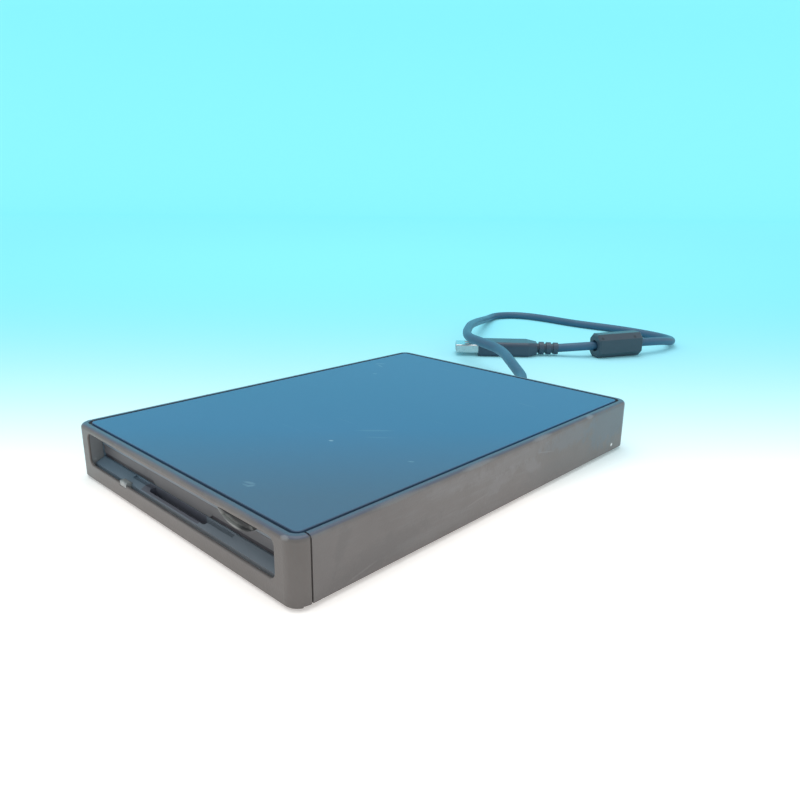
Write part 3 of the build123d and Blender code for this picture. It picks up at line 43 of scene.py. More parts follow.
camera_place = Vector((0.152593, -0.145318, 0.083020))
azimuth = math.radians(43.843)
elevation = math.radians(16.5286)
roll = math.radians(0.60386)
look_back = Vector((
    math.sin(azimuth) * math.cos(elevation),
    -math.cos(azimuth) * math.cos(elevation),
    math.sin(elevation),
))
bpy.ops.object.camera_add(location=camera_place)
camera = bpy.context.object
camera.name = "camera"
camera.rotation_mode = "QUATERNION"
camera.rotation_quaternion = (-look_back).to_track_quat("-Z", "Y") @ Quaternion((0, 0, 1), roll)
camera.data.sensor_width = 36
camera.data.lens = 30.925
camera.data.clip_start = 0.01
camera.data.clip_end = 20
bpy.context.scene.camera = camera
bpy.context.scene.view_settings.view_transform = "Standard"

# ------------------------------------------------------------------ cord
# A round USB lead of soft PVC, 4.6 mm across, moulded into the boot at the back of the
# case and into the plug. It rises from the boot, passes over the plug and lies in a loop
# on the table, then goes through the ferrite.

cord_radius = 0.0023
cord_route = [
    (0.0, 0.0700, 0.0085),
    (0.0, 0.0902, 0.0085),
    (-0.0185, 0.1048, 0.0120),
    (-0.0350, 0.1195, 0.0132),
    (-0.0500, 0.1250, 0.0136),
    (-0.0665, 0.1315, 0.0136),
    (-0.0840, 0.1560, 0.0136),
    (-0.1010, 0.1840, 0.0100),
    (-0.1170, 0.2130, 0.0060),
    (-0.1290, 0.2340, 0.0028),
    (-0.1352, 0.2510, 0.00235),
    (-0.1255, 0.2650, 0.00235),
    (-0.1060, 0.2675, 0.00235),
    (-0.0800, 0.2645, 0.00235),
    (-0.0520, 0.2670, 0.00235),
    (-0.0320, 0.2655, 0.00235),
    (-0.0150, 0.2610, 0.00235),
    (-0.0060, 0.2490, 0.0034),
    (-0.0052, 0.2340, 0.0060),
    (-0.0089, 0.2196, 0.00696),
    (-0.0261, 0.1878, 0.00646),
    (-0.0431, 0.1780, 0.0040),
]
cord_line = bpy.data.curves.new("cord", "CURVE")
cord_line.dimensions = "3D"
cord_line.bevel_depth = cord_radius
cord_line.bevel_resolution = 6
cord_line.resolution_u = 16
cord_line.use_fill_caps = True
spline = cord_line.splines.new("NURBS")
spline.points.add(len(cord_route) - 1)
for point, place in zip(spline.points, cord_route):
    point.co = (*place, 1)
spline.order_u = 3
spline.use_endpoint_u = True
cord = bpy.data.objects.new("cord", cord_line)
bpy.context.collection.objects.link(cord)


def effect(name, inputs, outputs):
    """A shader node group with an input and an output node, and its sockets by name."""
    group = bpy.data.node_groups.new(name, "ShaderNodeTree")
    for label, kind, value in inputs:
        socket = group.interface.new_socket(label, in_out="INPUT", socket_type=kind)
        socket.default_value = value
    for label, kind in outputs:
        group.interface.new_socket(label, in_out="OUTPUT", socket_type=kind)
    return group, group.nodes.new("NodeGroupInput"), group.nodes.new("NodeGroupOutput")


def join(tree, start, start_socket, end, end_socket):
    """A link between two nodes' sockets."""
    tree.links.new(start.outputs[start_socket], end.inputs[end_socket])


def noise(tree, scale, detail=3.0, roughness=0.5):
    """A noise texture node."""
    made = tree.nodes.new("ShaderNodeTexNoise")
    made.inputs["Scale"].default_value = scale
    made.inputs["Detail"].default_value = detail
    made.inputs["Roughness"].default_value = roughness
    return made


def spread(tree, low, high, start=0.0, end=1.0):
    """A map range node, clamped."""
    made = tree.nodes.new("ShaderNodeMapRange")
    made.inputs["From Min"].default_value = low
    made.inputs["From Max"].default_value = high
    made.inputs["To Min"].default_value = start
    made.inputs["To Max"].default_value = end
    return made


def figure(tree, operation, value=0.0):
    """A math node whose second number is set."""
    made = tree.nodes.new("ShaderNodeMath")
    made.operation = operation
    made.inputs[1].default_value = value
    return made


# moulded skin: fine pebbled texture, broad faint mottling, and a little dust in patches
skin, skin_in, skin_out = effect(
    "moulded_skin",
    [
        ("Vector", "NodeSocketVector", (0, 0, 0)),
        ("Pebbles", "NodeSocketFloat", 2600.0),
        ("Mottle", "NodeSocketFloat", 55.0),
    ],
    [("Height", "NodeSocketFloat"), ("Tone", "NodeSocketFloat"), ("Dust", "NodeSocketFloat")],
)
pebbles = skin.nodes.new("ShaderNodeTexVoronoi")
pebbles.feature = "SMOOTH_F1"
join(skin, skin_in, "Vector", pebbles, "Vector")
join(skin, skin_in, "Pebbles", pebbles, "Scale")
join(skin, pebbles, "Distance", skin_out, "Height")
mottle = noise(skin, 55, 5, 0.6)
join(skin, skin_in, "Vector", mottle, "Vector")
join(skin, skin_in, "Mottle", mottle, "Scale")
mottle_spread = spread(skin, 0.32, 0.68)
join(skin, mottle, "Fac", mottle_spread, "Value")
join(skin, mottle_spread, "Result", skin_out, "Tone")
dust_cloud = noise(skin, 160, 8, 0.75)
join(skin, skin_in, "Vector", dust_cloud, "Vector")
dust_spread = spread(skin, 0.55, 0.8)
join(skin, dust_cloud, "Fac", dust_spread, "Value")
join(skin, dust_spread, "Result", skin_out, "Dust")


def blank_material(name):
    """A material with a bare Principled shader, its tree and its Object coordinates."""
    material = bpy.data.materials.new(name)
    material.use_nodes = True
    tree = material.node_tree
    coordinates = tree.nodes.new("ShaderNodeTexCoord")
    return material, tree, tree.nodes["Principled BSDF"], coordinates


def blend_colours(tree, shade_a, shade_b, mask_node, mask_socket):
    """A colour mix node between two colours, or a node's colour and a colour, by a mask."""
    mixed = tree.nodes.new("ShaderNodeMix")
    mixed.data_type = "RGBA"
    tree.links.new(mask_node.outputs[mask_socket], mixed.inputs["Factor"])
    for shade, socket in ((shade_a, 6), (shade_b, 7)):
        if isinstance(shade, tuple):
            mixed.inputs[socket].default_value = (*shade, 1)
        else:
            tree.links.new(shade.outputs[2], mixed.inputs[socket])
    return mixed


def moulded(name, dark, light, gloss=0.5, pebble_size=0.0004, relief=0.00002, dust=0.35):
    """Moulded plastic or rubber: two close tones, a pebbled skin and dull dusty patches."""
    material, tree, shader, coordinates = blank_material(name)
    surface = tree.nodes.new("ShaderNodeGroup")
    surface.node_tree = skin
    surface.inputs["Pebbles"].default_value = 1 / pebble_size
    join(tree, coordinates, "Object", surface, "Vector")
    body = blend_colours(tree, dark, light, surface, "Tone")
    dusty = tuple(0.06 + 1.1 * channel for channel in light)
    veil = figure(tree, "MULTIPLY", dust * 0.35)
    join(tree, surface, "Dust", veil, 0)
    coloured = blend_colours(tree, body, dusty, veil, "Value")
    tree.links.new(coloured.outputs[2], shader.inputs["Base Color"])
    dull = spread(tree, 0, 1, gloss, min(1.0, gloss + 0.25))
    join(tree, surface, "Dust", dull, "Value")
    join(tree, dull, "Result", shader, "Roughness")
    bump = tree.nodes.new("ShaderNodeBump")
    bump.inputs["Distance"].default_value = relief
    join(tree, surface, "Height", bump, "Height")
    join(tree, bump, "Normal", shader, "Normal")
    return material


def wear(material, *pieces):
    """Gives the pieces this one material."""
    for piece in pieces:
        piece.data.materials.clear()
        piece.data.materials.append(material)


cord_pvc = moulded(
    "cord_pvc", (0.030, 0.098, 0.176), (0.042, 0.120, 0.206), gloss=0.42, pebble_size=0.0006,
    relief=0.000008, dust=0.3,
)
wear(cord_pvc, cord)
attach(cord, "case")
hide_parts("usb_cord")

# ------------------------------------------------------------------ table and light
# A white sweep of paper that turns pale cyan behind the object, a broad soft lamp above it
# and an even pale surround.


def moved(piece, act, **values):
    """Applies one operator to the whole mesh of a piece."""
    bpy.ops.object.mode_set(mode="EDIT")
    bpy.ops.mesh.select_all(action="SELECT")
    act(**values)
    bpy.ops.object.mode_set(mode="OBJECT")


sweep_near = 1.6
sweep_far = 2.6
sweep_width = 7.0
sweep_height = 2.2
sweep_bend = 0.9
away = Vector((-look_back.x, -look_back.y, 0)).normalized()
bpy.ops.object.select_all(action="DESELECT")
bpy.ops.mesh.primitive_plane_add(size=1)
sweep = bpy.context.object
sweep.name = "paper_sweep"
moved(
    sweep,
    bpy.ops.transform.resize,
    value=(sweep_near + sweep_far, sweep_width, 1),
    center_override=(0, 0, 0),
)
moved(sweep, bpy.ops.transform.translate, value=((sweep_far - sweep_near) / 2, 0, 0))
for edge in sweep.data.edges:
    edge.select = False
for face in sweep.data.polygons:
    face.select = False
for vertex in sweep.data.vertices:
    vertex.select = vertex.co.x > 0
bpy.ops.object.mode_set(mode="EDIT")
bpy.ops.mesh.select_mode(type="VERT")
bpy.ops.mesh.spin(
    steps=24, angle=math.pi / 2, center=(sweep_far, 0, sweep_bend), axis=(0, 1, 0)
)
bpy.ops.mesh.extrude_region_move(TRANSFORM_OT_translate={"value": (0, 0, sweep_height)})
bpy.ops.object.mode_set(mode="OBJECT")
moved(
    sweep,
    bpy.ops.transform.rotate,
    value=-math.atan2(away.y, away.x),
    orient_axis="Z",
    center_override=(0, 0, 0),
)
bpy.ops.object.shade_smooth()

# the white ends under the object, behind which the paper turns cyan
white_ahead = 0.03
white_fade = 0.10
lamp_fade = 0.9
paper_white = (0.99, 0.935, 0.905)
paper_cyan = (0.225, 0.700, 0.82)
paper, paper_tree, paper_shader, paper_coordinates = blank_material("paper")
paper_split = paper_tree.nodes.new("ShaderNodeVectorMath")
paper_split.operation = "DOT_PRODUCT"
paper_split.inputs[1].default_value = (away.x, away.y, 0.0)
join(paper_tree, paper_coordinates, "Object", paper_split, 0)
paper_start = figure(paper_tree, "ADD", white_ahead)
join(paper_tree, paper_split, "Value", paper_start, 0)
paper_behind = figure(paper_tree, "MAXIMUM", 0.0)
join(paper_tree, paper_start, "Value", paper_behind, 0)
paper_decay = figure(paper_tree, "MULTIPLY", -1 / white_fade)
join(paper_tree, paper_behind, "Value", paper_decay, 0)
paper_left = figure(paper_tree, "EXPONENT")
join(paper_tree, paper_decay, "Value", paper_left, 0)
paper_colour = blend_colours(paper_tree, paper_cyan, paper_white, paper_left, "Value")
paper_cloud = noise(paper_tree, 3.0, 2)
join(paper_tree, paper_coordinates, "Object", paper_cloud, "Vector")
paper_rough = spread(paper_tree, 0, 1, 0.85, 0.95)
join(paper_tree, paper_cloud, "Fac", paper_rough, "Value")
paper_tree.links.new(paper_colour.outputs[2], paper_shader.inputs["Base Color"])
join(paper_tree, paper_rough, "Result", paper_shader, "Roughness")
paper_shader.inputs["Specular IOR Level"].default_value = 0.0
ray = paper_tree.nodes.new("ShaderNodeLightPath")
seen = figure(paper_tree, "MAXIMUM")
join(paper_tree, ray, "Is Camera Ray", seen, 0)
join(paper_tree, ray, "Is Glossy Ray", seen, 1)
# the glow makes up for the lamp's light, which fades with the distance behind the object
paper_fade = figure(paper_tree, "MULTIPLY", -1 / lamp_fade)
join(paper_tree, paper_behind, "Value", paper_fade, 0)
paper_lamp_left = figure(paper_tree, "EXPONENT")
join(paper_tree, paper_fade, "Value", paper_lamp_left, 0)
paper_far_glow = spread(paper_tree, 0.0, 1.0, 0.60, 0.0)
join(paper_tree, paper_lamp_left, "Value", paper_far_glow, "Value")
paper_glow = spread(paper_tree, 0.0, 1.0, 0.0, 0.38)
join(paper_tree, paper_left, "Value", paper_glow, "Value")
paper_tree.links.new(paper_far_glow.outputs["Result"], paper_glow.inputs["To Min"])
seen_directly = figure(paper_tree, "MULTIPLY")
join(paper_tree, seen, "Value", seen_directly, 0)
join(paper_tree, paper_glow, "Result", seen_directly, 1)
paper_tree.links.new(paper_colour.outputs[2], paper_shader.inputs["Emission Color"])
join(paper_tree, seen_directly, "Value", paper_shader, "Emission Strength")
# from below the paper lets the view through, so that the feet and the cover can be seen
paper_side = paper_tree.nodes.new("ShaderNodeNewGeometry")
paper_clear = paper_tree.nodes.new("ShaderNodeBsdfTransparent")
paper_choice = paper_tree.nodes.new("ShaderNodeMixShader")
paper_end = paper_tree.nodes["Material Output"]
join(paper_tree, paper_side, "Backfacing", paper_choice, "Fac")
paper_tree.links.new(paper_shader.outputs["BSDF"], paper_choice.inputs[1])
paper_tree.links.new(paper_clear.outputs["BSDF"], paper_choice.inputs[2])
paper_tree.links.new(paper_choice.outputs["Shader"], paper_end.inputs["Surface"])
wear(paper, sweep)

lamp_place = Vector((-0.15, 0.10, 1.1))
bpy.ops.object.light_add(type="AREA", location=lamp_place)
soft_lamp = bpy.context.object
soft_lamp.name = "soft_lamp"
soft_lamp.data.shape = "DISK"
soft_lamp.data.size = 1.1
soft_lamp.data.energy = 5.0
soft_lamp.data.color = (1.0, 0.99, 0.97)
soft_lamp.rotation_mode = "QUATERNION"
soft_lamp.rotation_quaternion = (-lamp_place).to_track_quat("-Z", "Y")

world = bpy.data.worlds.new("surround")
bpy.context.scene.world = world
world.use_nodes = True
surround = world.node_tree.nodes["Background"]
surround.inputs["Color"].default_value = (0.90, 0.98, 1.0, 1)
surround.inputs["Strength"].default_value = 0.86

# ------------------------------------------------------------------ case shells
# Front bezel, upper housing and bottom cover: injection-moulded ABS, warm gray, clipped
# and screwed together. The skin is fine and even, rubbed lighter along the top rim.

scuffs, scuffs_in, scuffs_out = effect(
    "handling_scuffs",
    [
        ("Vector", "NodeSocketVector", (0, 0, 0)),
        ("Stretch", "NodeSocketVector", (60.0, 60.0, 600.0)),
        ("Amount", "NodeSocketFloat", 0.62),
    ],
    [("Mask", "NodeSocketFloat")],
)
scuff_space = scuffs.nodes.new("ShaderNodeVectorMath")
scuff_space.operation = "MULTIPLY"
join(scuffs, scuffs_in, "Vector", scuff_space, 0)
join(scuffs, scuffs_in, "Stretch", scuff_space, 1)
scuff_streaks = noise(scuffs, 1.0, 6, 0.7)
join(scuffs, scuff_space, "Vector", scuff_streaks, "Vector")
scuff_areas = noise(scuffs, 28.0, 2)
join(scuffs, scuffs_in, "Vector", scuff_areas, "Vector")
scuff_product = figure(scuffs, "MULTIPLY")
join(scuffs, scuff_streaks, "Fac", scuff_product, 0)
join(scuffs, scuff_areas, "Fac", scuff_product, 1)
scuff_level = scuffs.nodes.new("ShaderNodeMapRange")
scuff_level.inputs["From Max"].default_value = 0.5
join(scuffs, scuff_product, "Value", scuff_level, "Value")
scuff_low = figure(scuffs, "MULTIPLY", 0.5)
join(scuffs, scuffs_in, "Amount", scuff_low, 0)
join(scuffs, scuff_low, "Value", scuff_level, "From Min")
join(scuffs, scuff_level, "Result", scuffs_out, "Mask")

# one mark, for wear and for painted light and shade: a stretched patch with a ragged edge, at a
# place and a turn
wear_and_painted_light_mark, mark_in, mark_out = effect(
    "wear_and_painted_light_mark",
    [
        ("Vector", "NodeSocketVector", (0, 0, 0)),
        ("Place", "NodeSocketVector", (0, 0, 0)),
        ("Turn", "NodeSocketVector", (0, 0, 0)),
        ("Size", "NodeSocketVector", (0.001, 0.001, 0.001)),
        ("Ragged", "NodeSocketFloat", 0.9),
        ("Grit", "NodeSocketFloat", 2600.0),
    ],
    [("Mask", "NodeSocketFloat")],
)
mark_space = wear_and_painted_light_mark.nodes.new("ShaderNodeMapping")
mark_space.vector_type = "TEXTURE"
join(wear_and_painted_light_mark, mark_in, "Vector", mark_space, "Vector")
join(wear_and_painted_light_mark, mark_in, "Place", mark_space, "Location")
join(wear_and_painted_light_mark, mark_in, "Turn", mark_space, "Rotation")
join(wear_and_painted_light_mark, mark_in, "Size", mark_space, "Scale")
mark_reach = wear_and_painted_light_mark.nodes.new("ShaderNodeVectorMath")
mark_reach.operation = "LENGTH"
join(wear_and_painted_light_mark, mark_space, "Vector", mark_reach, 0)
mark_grit = noise(wear_and_painted_light_mark, 2600.0, 6, 0.7)
join(wear_and_painted_light_mark, mark_in, "Vector", mark_grit, "Vector")
join(wear_and_painted_light_mark, mark_in, "Grit", mark_grit, "Scale")
mark_centred = figure(wear_and_painted_light_mark, "SUBTRACT", 0.5)
join(wear_and_painted_light_mark, mark_grit, "Fac", mark_centred, 0)
mark_scaled = figure(wear_and_painted_light_mark, "MULTIPLY")
join(wear_and_painted_light_mark, mark_centred, "Value", mark_scaled, 0)
join(wear_and_painted_light_mark, mark_in, "Ragged", mark_scaled, 1)
mark_edge = figure(wear_and_painted_light_mark, "ADD")
join(wear_and_painted_light_mark, mark_reach, "Value", mark_edge, 0)
join(wear_and_painted_light_mark, mark_scaled, "Value", mark_edge, 1)
mark_fall = spread(wear_and_painted_light_mark, 0.55, 1.10, 1.0, 0.0)
join(wear_and_painted_light_mark, mark_edge, "Value", mark_fall, "Value")
join(wear_and_painted_light_mark, mark_fall, "Result", mark_out, "Mask")


def opened(material):
    """A material's tree, its shader, its coordinates and the node that colours it."""
    tree = material.node_tree
    shader = tree.nodes["Principled BSDF"]
    coordinates = next(node for node in tree.nodes if node.type == "TEX_COORD")
    return tree, shader, coordinates, shader.inputs["Base Color"].links[0].from_node


def marked(material, marks, ragged=0.9, grit=2600.0):
    """Lays marks over a material, worn ones and painted light and shade: (place, turn, size,
    colour, strength) each.
    """
    tree, shader, coordinates, under = opened(material)
    for place, turn, size, colour, strength in marks:
        mark = tree.nodes.new("ShaderNodeGroup")
        mark.node_tree = wear_and_painted_light_mark
        mark.inputs["Place"].default_value = place
        mark.inputs["Turn"].default_value = turn
        mark.inputs["Size"].default_value = size
        mark.inputs["Ragged"].default_value = ragged
        mark.inputs["Grit"].default_value = grit
        join(tree, coordinates, "Object", mark, "Vector")
        faded = figure(tree, "MULTIPLY", strength)
        join(tree, mark, "Mask", faded, 0)
        under = blend_colours(tree, under, colour, faded, "Value")
    tree.links.new(under.outputs[2], shader.inputs["Base Color"])


# a mask that is 1 inside a box and 0 outside it
box_zone, box_in, box_out = effect(
    "box_zone",
    [
        ("Vector", "NodeSocketVector", (0, 0, 0)),
        ("Low", "NodeSocketVector", (-1, -1, -1)),
        ("High", "NodeSocketVector", (1, 1, 1)),
    ],
    [("Mask", "NodeSocketFloat")],
)
box_parts = {}
for corner in ("Vector", "Low", "High"):
    box_parts[corner] = box_zone.nodes.new("ShaderNodeSeparateXYZ")
    join(box_zone, box_in, corner, box_parts[corner], "Vector")
box_total = None
for axis in "XYZ":
    for corner, operation in (("Low", "GREATER_THAN"), ("High", "LESS_THAN")):
        beyond = figure(box_zone, operation)
        join(box_zone, box_parts["Vector"], axis, beyond, 0)
        join(box_zone, box_parts[corner], axis, beyond, 1)
        if box_total is None:
            box_total = beyond
        else:
            product = figure(box_zone, "MULTIPLY")
            join(box_zone, box_total, "Value", product, 0)
            join(box_zone, beyond, "Value", product, 1)
            box_total = product
join(box_zone, box_total, "Value", box_out, "Mask")


def zoned(material, low, high, colour, strength=1.0):
    """Gives the part of a piece that lies inside a box another colour."""
    tree, shader, coordinates, under = opened(material)
    zone = tree.nodes.new("ShaderNodeGroup")
    zone.node_tree = box_zone
    zone.inputs["Low"].default_value = low
    zone.inputs["High"].default_value = high
    join(tree, coordinates, "Object", zone, "Vector")
    faded = figure(tree, "MULTIPLY", strength)
    join(tree, zone, "Mask", faded, 0)
    over = blend_colours(tree, under, colour, faded, "Value")
    tree.links.new(over.outputs[2], shader.inputs["Base Color"])


def case_plastic(name, dark, light, scuff_strength):
    """The case's ABS: moulded skin, pale streaky scuffs, a rubbed upper rim and painted bluish
    light on the rim's flat.
    """
    material = moulded(name, dark, light, gloss=0.36, pebble_size=0.00045, relief=0.00003)
    tree, shader, coordinates, skin_colour = opened(material)
    streaks = tree.nodes.new("ShaderNodeGroup")
    streaks.node_tree = scuffs
    streaks.inputs["Amount"].default_value = 0.66
    join(tree, coordinates, "Object", streaks, "Vector")
    strength = figure(tree, "MULTIPLY", scuff_strength)
    join(tree, streaks, "Mask", strength, 0)
    scuffed = blend_colours(tree, skin_colour, (0.24, 0.25, 0.26), strength, "Value")
    place = tree.nodes.new("ShaderNodeSeparateXYZ")
    join(tree, coordinates, "Object", place, "Vector")
    rim = spread(tree, 0.0158, 0.0171)
    join(tree, place, "Z", rim, "Value")
    rub = noise(tree, 240, 4)
    join(tree, coordinates, "Object", rub, "Vector")
    rub_level = spread(tree, 0.5, 0.75, 0.0, 0.5)
    join(tree, rub, "Fac", rub_level, "Value")
    rubbed = figure(tree, "MULTIPLY")
    join(tree, rim, "Result", rubbed, 0)
    join(tree, rub_level, "Result", rubbed, 1)
    edged = blend_colours(tree, scuffed, (0.22, 0.25, 0.27), rubbed, "Value")
    # painted light: the flat of the rim is painted darker and bluer than the walls, for the bluish
    # light and reflection from above
    painted_top_tint = spread(tree, 0.01655, 0.0169, 0.0, 0.92)
    join(tree, place, "Z", painted_top_tint, "Value")
    with_painted_top = blend_colours(tree, edged, (0.068, 0.084, 0.128), painted_top_tint, "Result")
    tree.links.new(with_painted_top.outputs[2], shader.inputs["Base Color"])
    return material


case_abs = case_plastic("case_abs", (0.142, 0.127, 0.124), (0.162, 0.146, 0.143), 0.22)
wear(case_abs, parts["upper_housing"], parts["bottom_cover"])
bezel_abs = case_plastic("bezel_abs", (0.126, 0.110, 0.104), (0.145, 0.127, 0.121), 0.16)
wear(bezel_abs, parts["front_bezel"])
# painted shade: the groove round the plate is painted darker, less so at the front
for shell, groove_shade in ((case_abs, (0.034, 0.038, 0.048)), (bezel_abs, (0.060, 0.085, 0.110))):
    zoned(shell, (-0.0512, -0.0697, 0.0161), (0.0512, 0.0697, 0.01655), groove_shade, 0.85)
# painted light: the mouth's inner walls are painted paler and bluer, to lift the shade inside the
# mouth
zoned(
    bezel_abs, (-0.0465, -0.0709, 0.0050), (0.0465, -0.0672, 0.0156), (0.270, 0.285, 0.300), 0.8
)
# hazy smears and scuffs on the right wall, and towards its back two bluish patches of painted
# reflection of the cyan backdrop: y, z, turn, half length, half height
side_x = 0.053
marked(
    case_abs,
    [
        ((side_x, y, z), (turn, 0, 0), (0.002, length, height), colour, strength)
        for y, z, turn, length, height, colour, strength in (
            (0.004, 0.0135, 0.05, 0.020, 0.0026, (0.250, 0.255, 0.270), 0.17),
            (-0.019, 0.0140, -0.03, 0.014, 0.0022, (0.250, 0.250, 0.260), 0.16),
            (-0.002, 0.0090, 0.3, 0.008, 0.0024, (0.270, 0.275, 0.290), 0.18),
            (0.013, 0.0095, -0.4, 0.006, 0.0020, (0.270, 0.280, 0.300), 0.18),
            # painted reflection: two bluish patches of the cyan backdrop on the back of the wall
            (0.034, 0.0130, 0.04, 0.016, 0.0034, (0.150, 0.200, 0.250), 0.26),
            (0.058, 0.0120, 0.0, 0.016, 0.0080, (0.095, 0.150, 0.195), 0.50),
            (-0.045, 0.0060, 0.1, 0.016, 0.0036, (0.100, 0.094, 0.096), 0.30),
            (-0.059, 0.0115, 1.2, 0.006, 0.0020, (0.105, 0.098, 0.099), 0.30),
            (0.022, 0.0050, 0.0, 0.014, 0.0030, (0.110, 0.110, 0.116), 0.28),
            (-0.028, 0.0040, 0.0, 0.016, 0.0018, (0.220, 0.215, 0.215), 0.16),
        )
    ],
    ragged=2.4,
    grit=420.0,
)
# fine scratches, the worn upper edge and one chip
marked(
    case_abs,
    [
        ((side_x, y, z), (turn, 0, 0), (0.002, length, height), colour, 0.30)
        for y, z, turn, length, height, colour in (
            (-0.053, 0.0030, 0.2, 0.005, 0.0003, (0.240, 0.235, 0.230)),
            (-0.012, 0.0068, 0.12, 0.006, 0.0002, (0.240, 0.235, 0.230)),
            (0.020, 0.0118, -0.2, 0.005, 0.0002, (0.260, 0.270, 0.280)),
        )
    ]
    + [
        ((0.0526, y, z), (0, 0, 0), (depth, length, height), colour, strength)
        for y, z, depth, length, height, colour, strength in (
            (0.0455, 0.0167, 0.0014, 0.0022, 0.0007, (0.270, 0.315, 0.345), 0.45),
            (0.0180, 0.0166, 0.0012, 0.0050, 0.0006, (0.240, 0.260, 0.280), 0.50),
            (-0.0120, 0.0166, 0.0012, 0.0070, 0.0006, (0.240, 0.260, 0.280), 0.45),
            (-0.0420, 0.0166, 0.0012, 0.0090, 0.0006, (0.210, 0.215, 0.220), 0.45),
        )
    ]
    + [
        ((side_x, 0.0615, 0.0034), (0.3, 0, 0), (0.001, 0.0007, 0.0006), (0.85, 0.85, 0.85), 0.95),
    ],
    ragged=0.8,
)
# rubbed spots on the bezel's corner and its top edge, and a painted highlight low in the mouth's
# left corner
rim_y = -0.0712
marked(
    bezel_abs,
    [
        ((0.0494, rim_y, 0.0169), (0, 0, 0.2), (0.0013, 0.0006, 0.0009), (0.33, 0.33, 0.34), 0.45),
        ((0.030, rim_y, 0.0168), (0, 0, 0), (0.012, 0.0008, 0.0005), (0.170, 0.160, 0.152), 0.45),
        ((-0.006, rim_y, 0.0168), (0, 0, 0), (0.018, 0.0008, 0.0005), (0.165, 0.155, 0.148), 0.45),
        # painted highlight in the mouth's lower left corner
        ((-0.0448, -0.070, 0.0068), (0, 0, 0), (0.0012, 0.001, 0.0008), (0.45, 0.46, 0.46), 0.80),
    ],
)

# ------------------------------------------------------------------ top plate
# A thin pressed steel plate, painted satin steel blue, glued into its seat so that a dark
# groove runs round it. The paint is even but greyer towards the front right, with hairline
# scratches from handling.

plate_material, plate_tree, plate_shader, plate_coordinates = blank_material("plate_paint")
plate_cloud = noise(plate_tree, 18, 4, 0.55)
join(plate_tree, plate_coordinates, "Object", plate_cloud, "Vector")
plate_tone = spread(plate_tree, 0.3, 0.7)
join(plate_tree, plate_cloud, "Fac", plate_tone, "Value")
plate_paint = blend_colours(
    plate_tree, (0.030, 0.124, 0.262), (0.036, 0.136, 0.280), plate_tone, "Result"
)
hairs = None
for turn, density in ((0.3, 0.735), (1.2, 0.75), (2.3, 0.745)):
    hair_space = plate_tree.nodes.new("ShaderNodeMapping")
    hair_space.inputs["Rotation"].default_value = (0, 0, turn)
    hair_space.inputs["Scale"].default_value = (45, 1600, 1)
    join(plate_tree, plate_coordinates, "Object", hair_space, "Vector")
    hair = noise(plate_tree, 1.0, 2, 0.4)
    join(plate_tree, hair_space, "Vector", hair, "Vector")
    hair_line = spread(plate_tree, density, density + 0.05, 0.0, 0.5)
    join(plate_tree, hair, "Fac", hair_line, "Value")
    if hairs is None:
        hairs = hair_line
        hair_socket = "Result"
    else:
        together = figure(plate_tree, "MAXIMUM")
        join(plate_tree, hairs, hair_socket, together, 0)
        join(plate_tree, hair_line, "Result", together, 1)
        hairs = together
        hair_socket = "Value"
scratched = blend_colours(plate_tree, plate_paint, (0.14, 0.24, 0.34), hairs, hair_socket)
# the paint turns greyer and less blue towards the front right corner
plate_slope = plate_tree.nodes.new("ShaderNodeVectorMath")
plate_slope.operation = "DOT_PRODUCT"
plate_slope.inputs[1].default_value = (1.0, -1.0, 0.0)
join(plate_tree, plate_coordinates, "Object", plate_slope, 0)
plate_front_right = spread(plate_tree, 0.026, 0.094, 0.0, 0.9)
join(plate_tree, plate_slope, "Value", plate_front_right, "Value")
greyer_front_right = blend_colours(plate_tree, scratched, (0.058, 0.100, 0.166), plate_front_right, "Result")
plate_tree.links.new(greyer_front_right.outputs[2], plate_shader.inputs["Base Color"])
plate_rough = spread(plate_tree, 0, 1, 0.36, 0.44)
join(plate_tree, plate_cloud, "Fac", plate_rough, "Value")
join(plate_tree, plate_rough, "Result", plate_shader, "Roughness")
plate_peel = noise(plate_tree, 1500, 2)
join(plate_tree, plate_coordinates, "Object", plate_peel, "Vector")
plate_bump = plate_tree.nodes.new("ShaderNodeBump")
plate_bump.inputs["Distance"].default_value = 0.000006
join(plate_tree, plate_peel, "Fac", plate_bump, "Height")
join(plate_tree, plate_bump, "Normal", plate_shader, "Normal")
# ticks and short scratches: x, y, turn, half length, half width
plate_top = 0.0171
marked(
    plate_material,
    [
        ((x, y, plate_top), (0, 0, turn), (length, width, 0.0006), colour, strength)
        for x, y, turn, length, width, colour, strength in (
            (-0.0432, 0.0465, 0.9, 0.0026, 0.0004, (0.20, 0.33, 0.43), 0.55),
            (-0.0404, 0.0440, -0.3, 0.0020, 0.0004, (0.20, 0.33, 0.43), 0.45),
            (-0.0328, 0.0336, 0.4, 0.0010, 0.0005, (0.20, 0.33, 0.43), 0.50),
            (0.0131, -0.0278, 0.5, 0.0008, 0.0005, (0.32, 0.46, 0.56), 0.70),
            (0.0219, -0.0608, 0.3, 0.0018, 0.0006, (0.16, 0.26, 0.34), 0.50),
            (0.0236, -0.0616, 1.2, 0.0012, 0.0006, (0.16, 0.26, 0.34), 0.50),
            (0.0224, -0.0622, 0.1, 0.0013, 0.0004, (0.15, 0.24, 0.32), 0.40),
            (0.0155, -0.0130, 0.78, 0.0060, 0.0007, (0.13, 0.26, 0.36), 0.35),
            (0.0205, -0.0165, 0.70, 0.0045, 0.0004, (0.13, 0.26, 0.36), 0.30),
            (0.0397, -0.0234, 0.6, 0.0010, 0.0004, (0.20, 0.33, 0.42), 0.50),
        )
    ],
)
wear(plate_material, parts["top_plate"])

# ------------------------------------------------------------------ feet and screws
# Four turned rubber feet pushed into round seats, and small countersunk screws of
# zinc-plated steel that hold the cover and the drive.

foot_rubber = moulded(
    "foot_rubber", (0.014, 0.014, 0.016), (0.022, 0.022, 0.024), gloss=0.7, pebble_size=0.0003
)
wear(foot_rubber, parts["rubber_feet"])


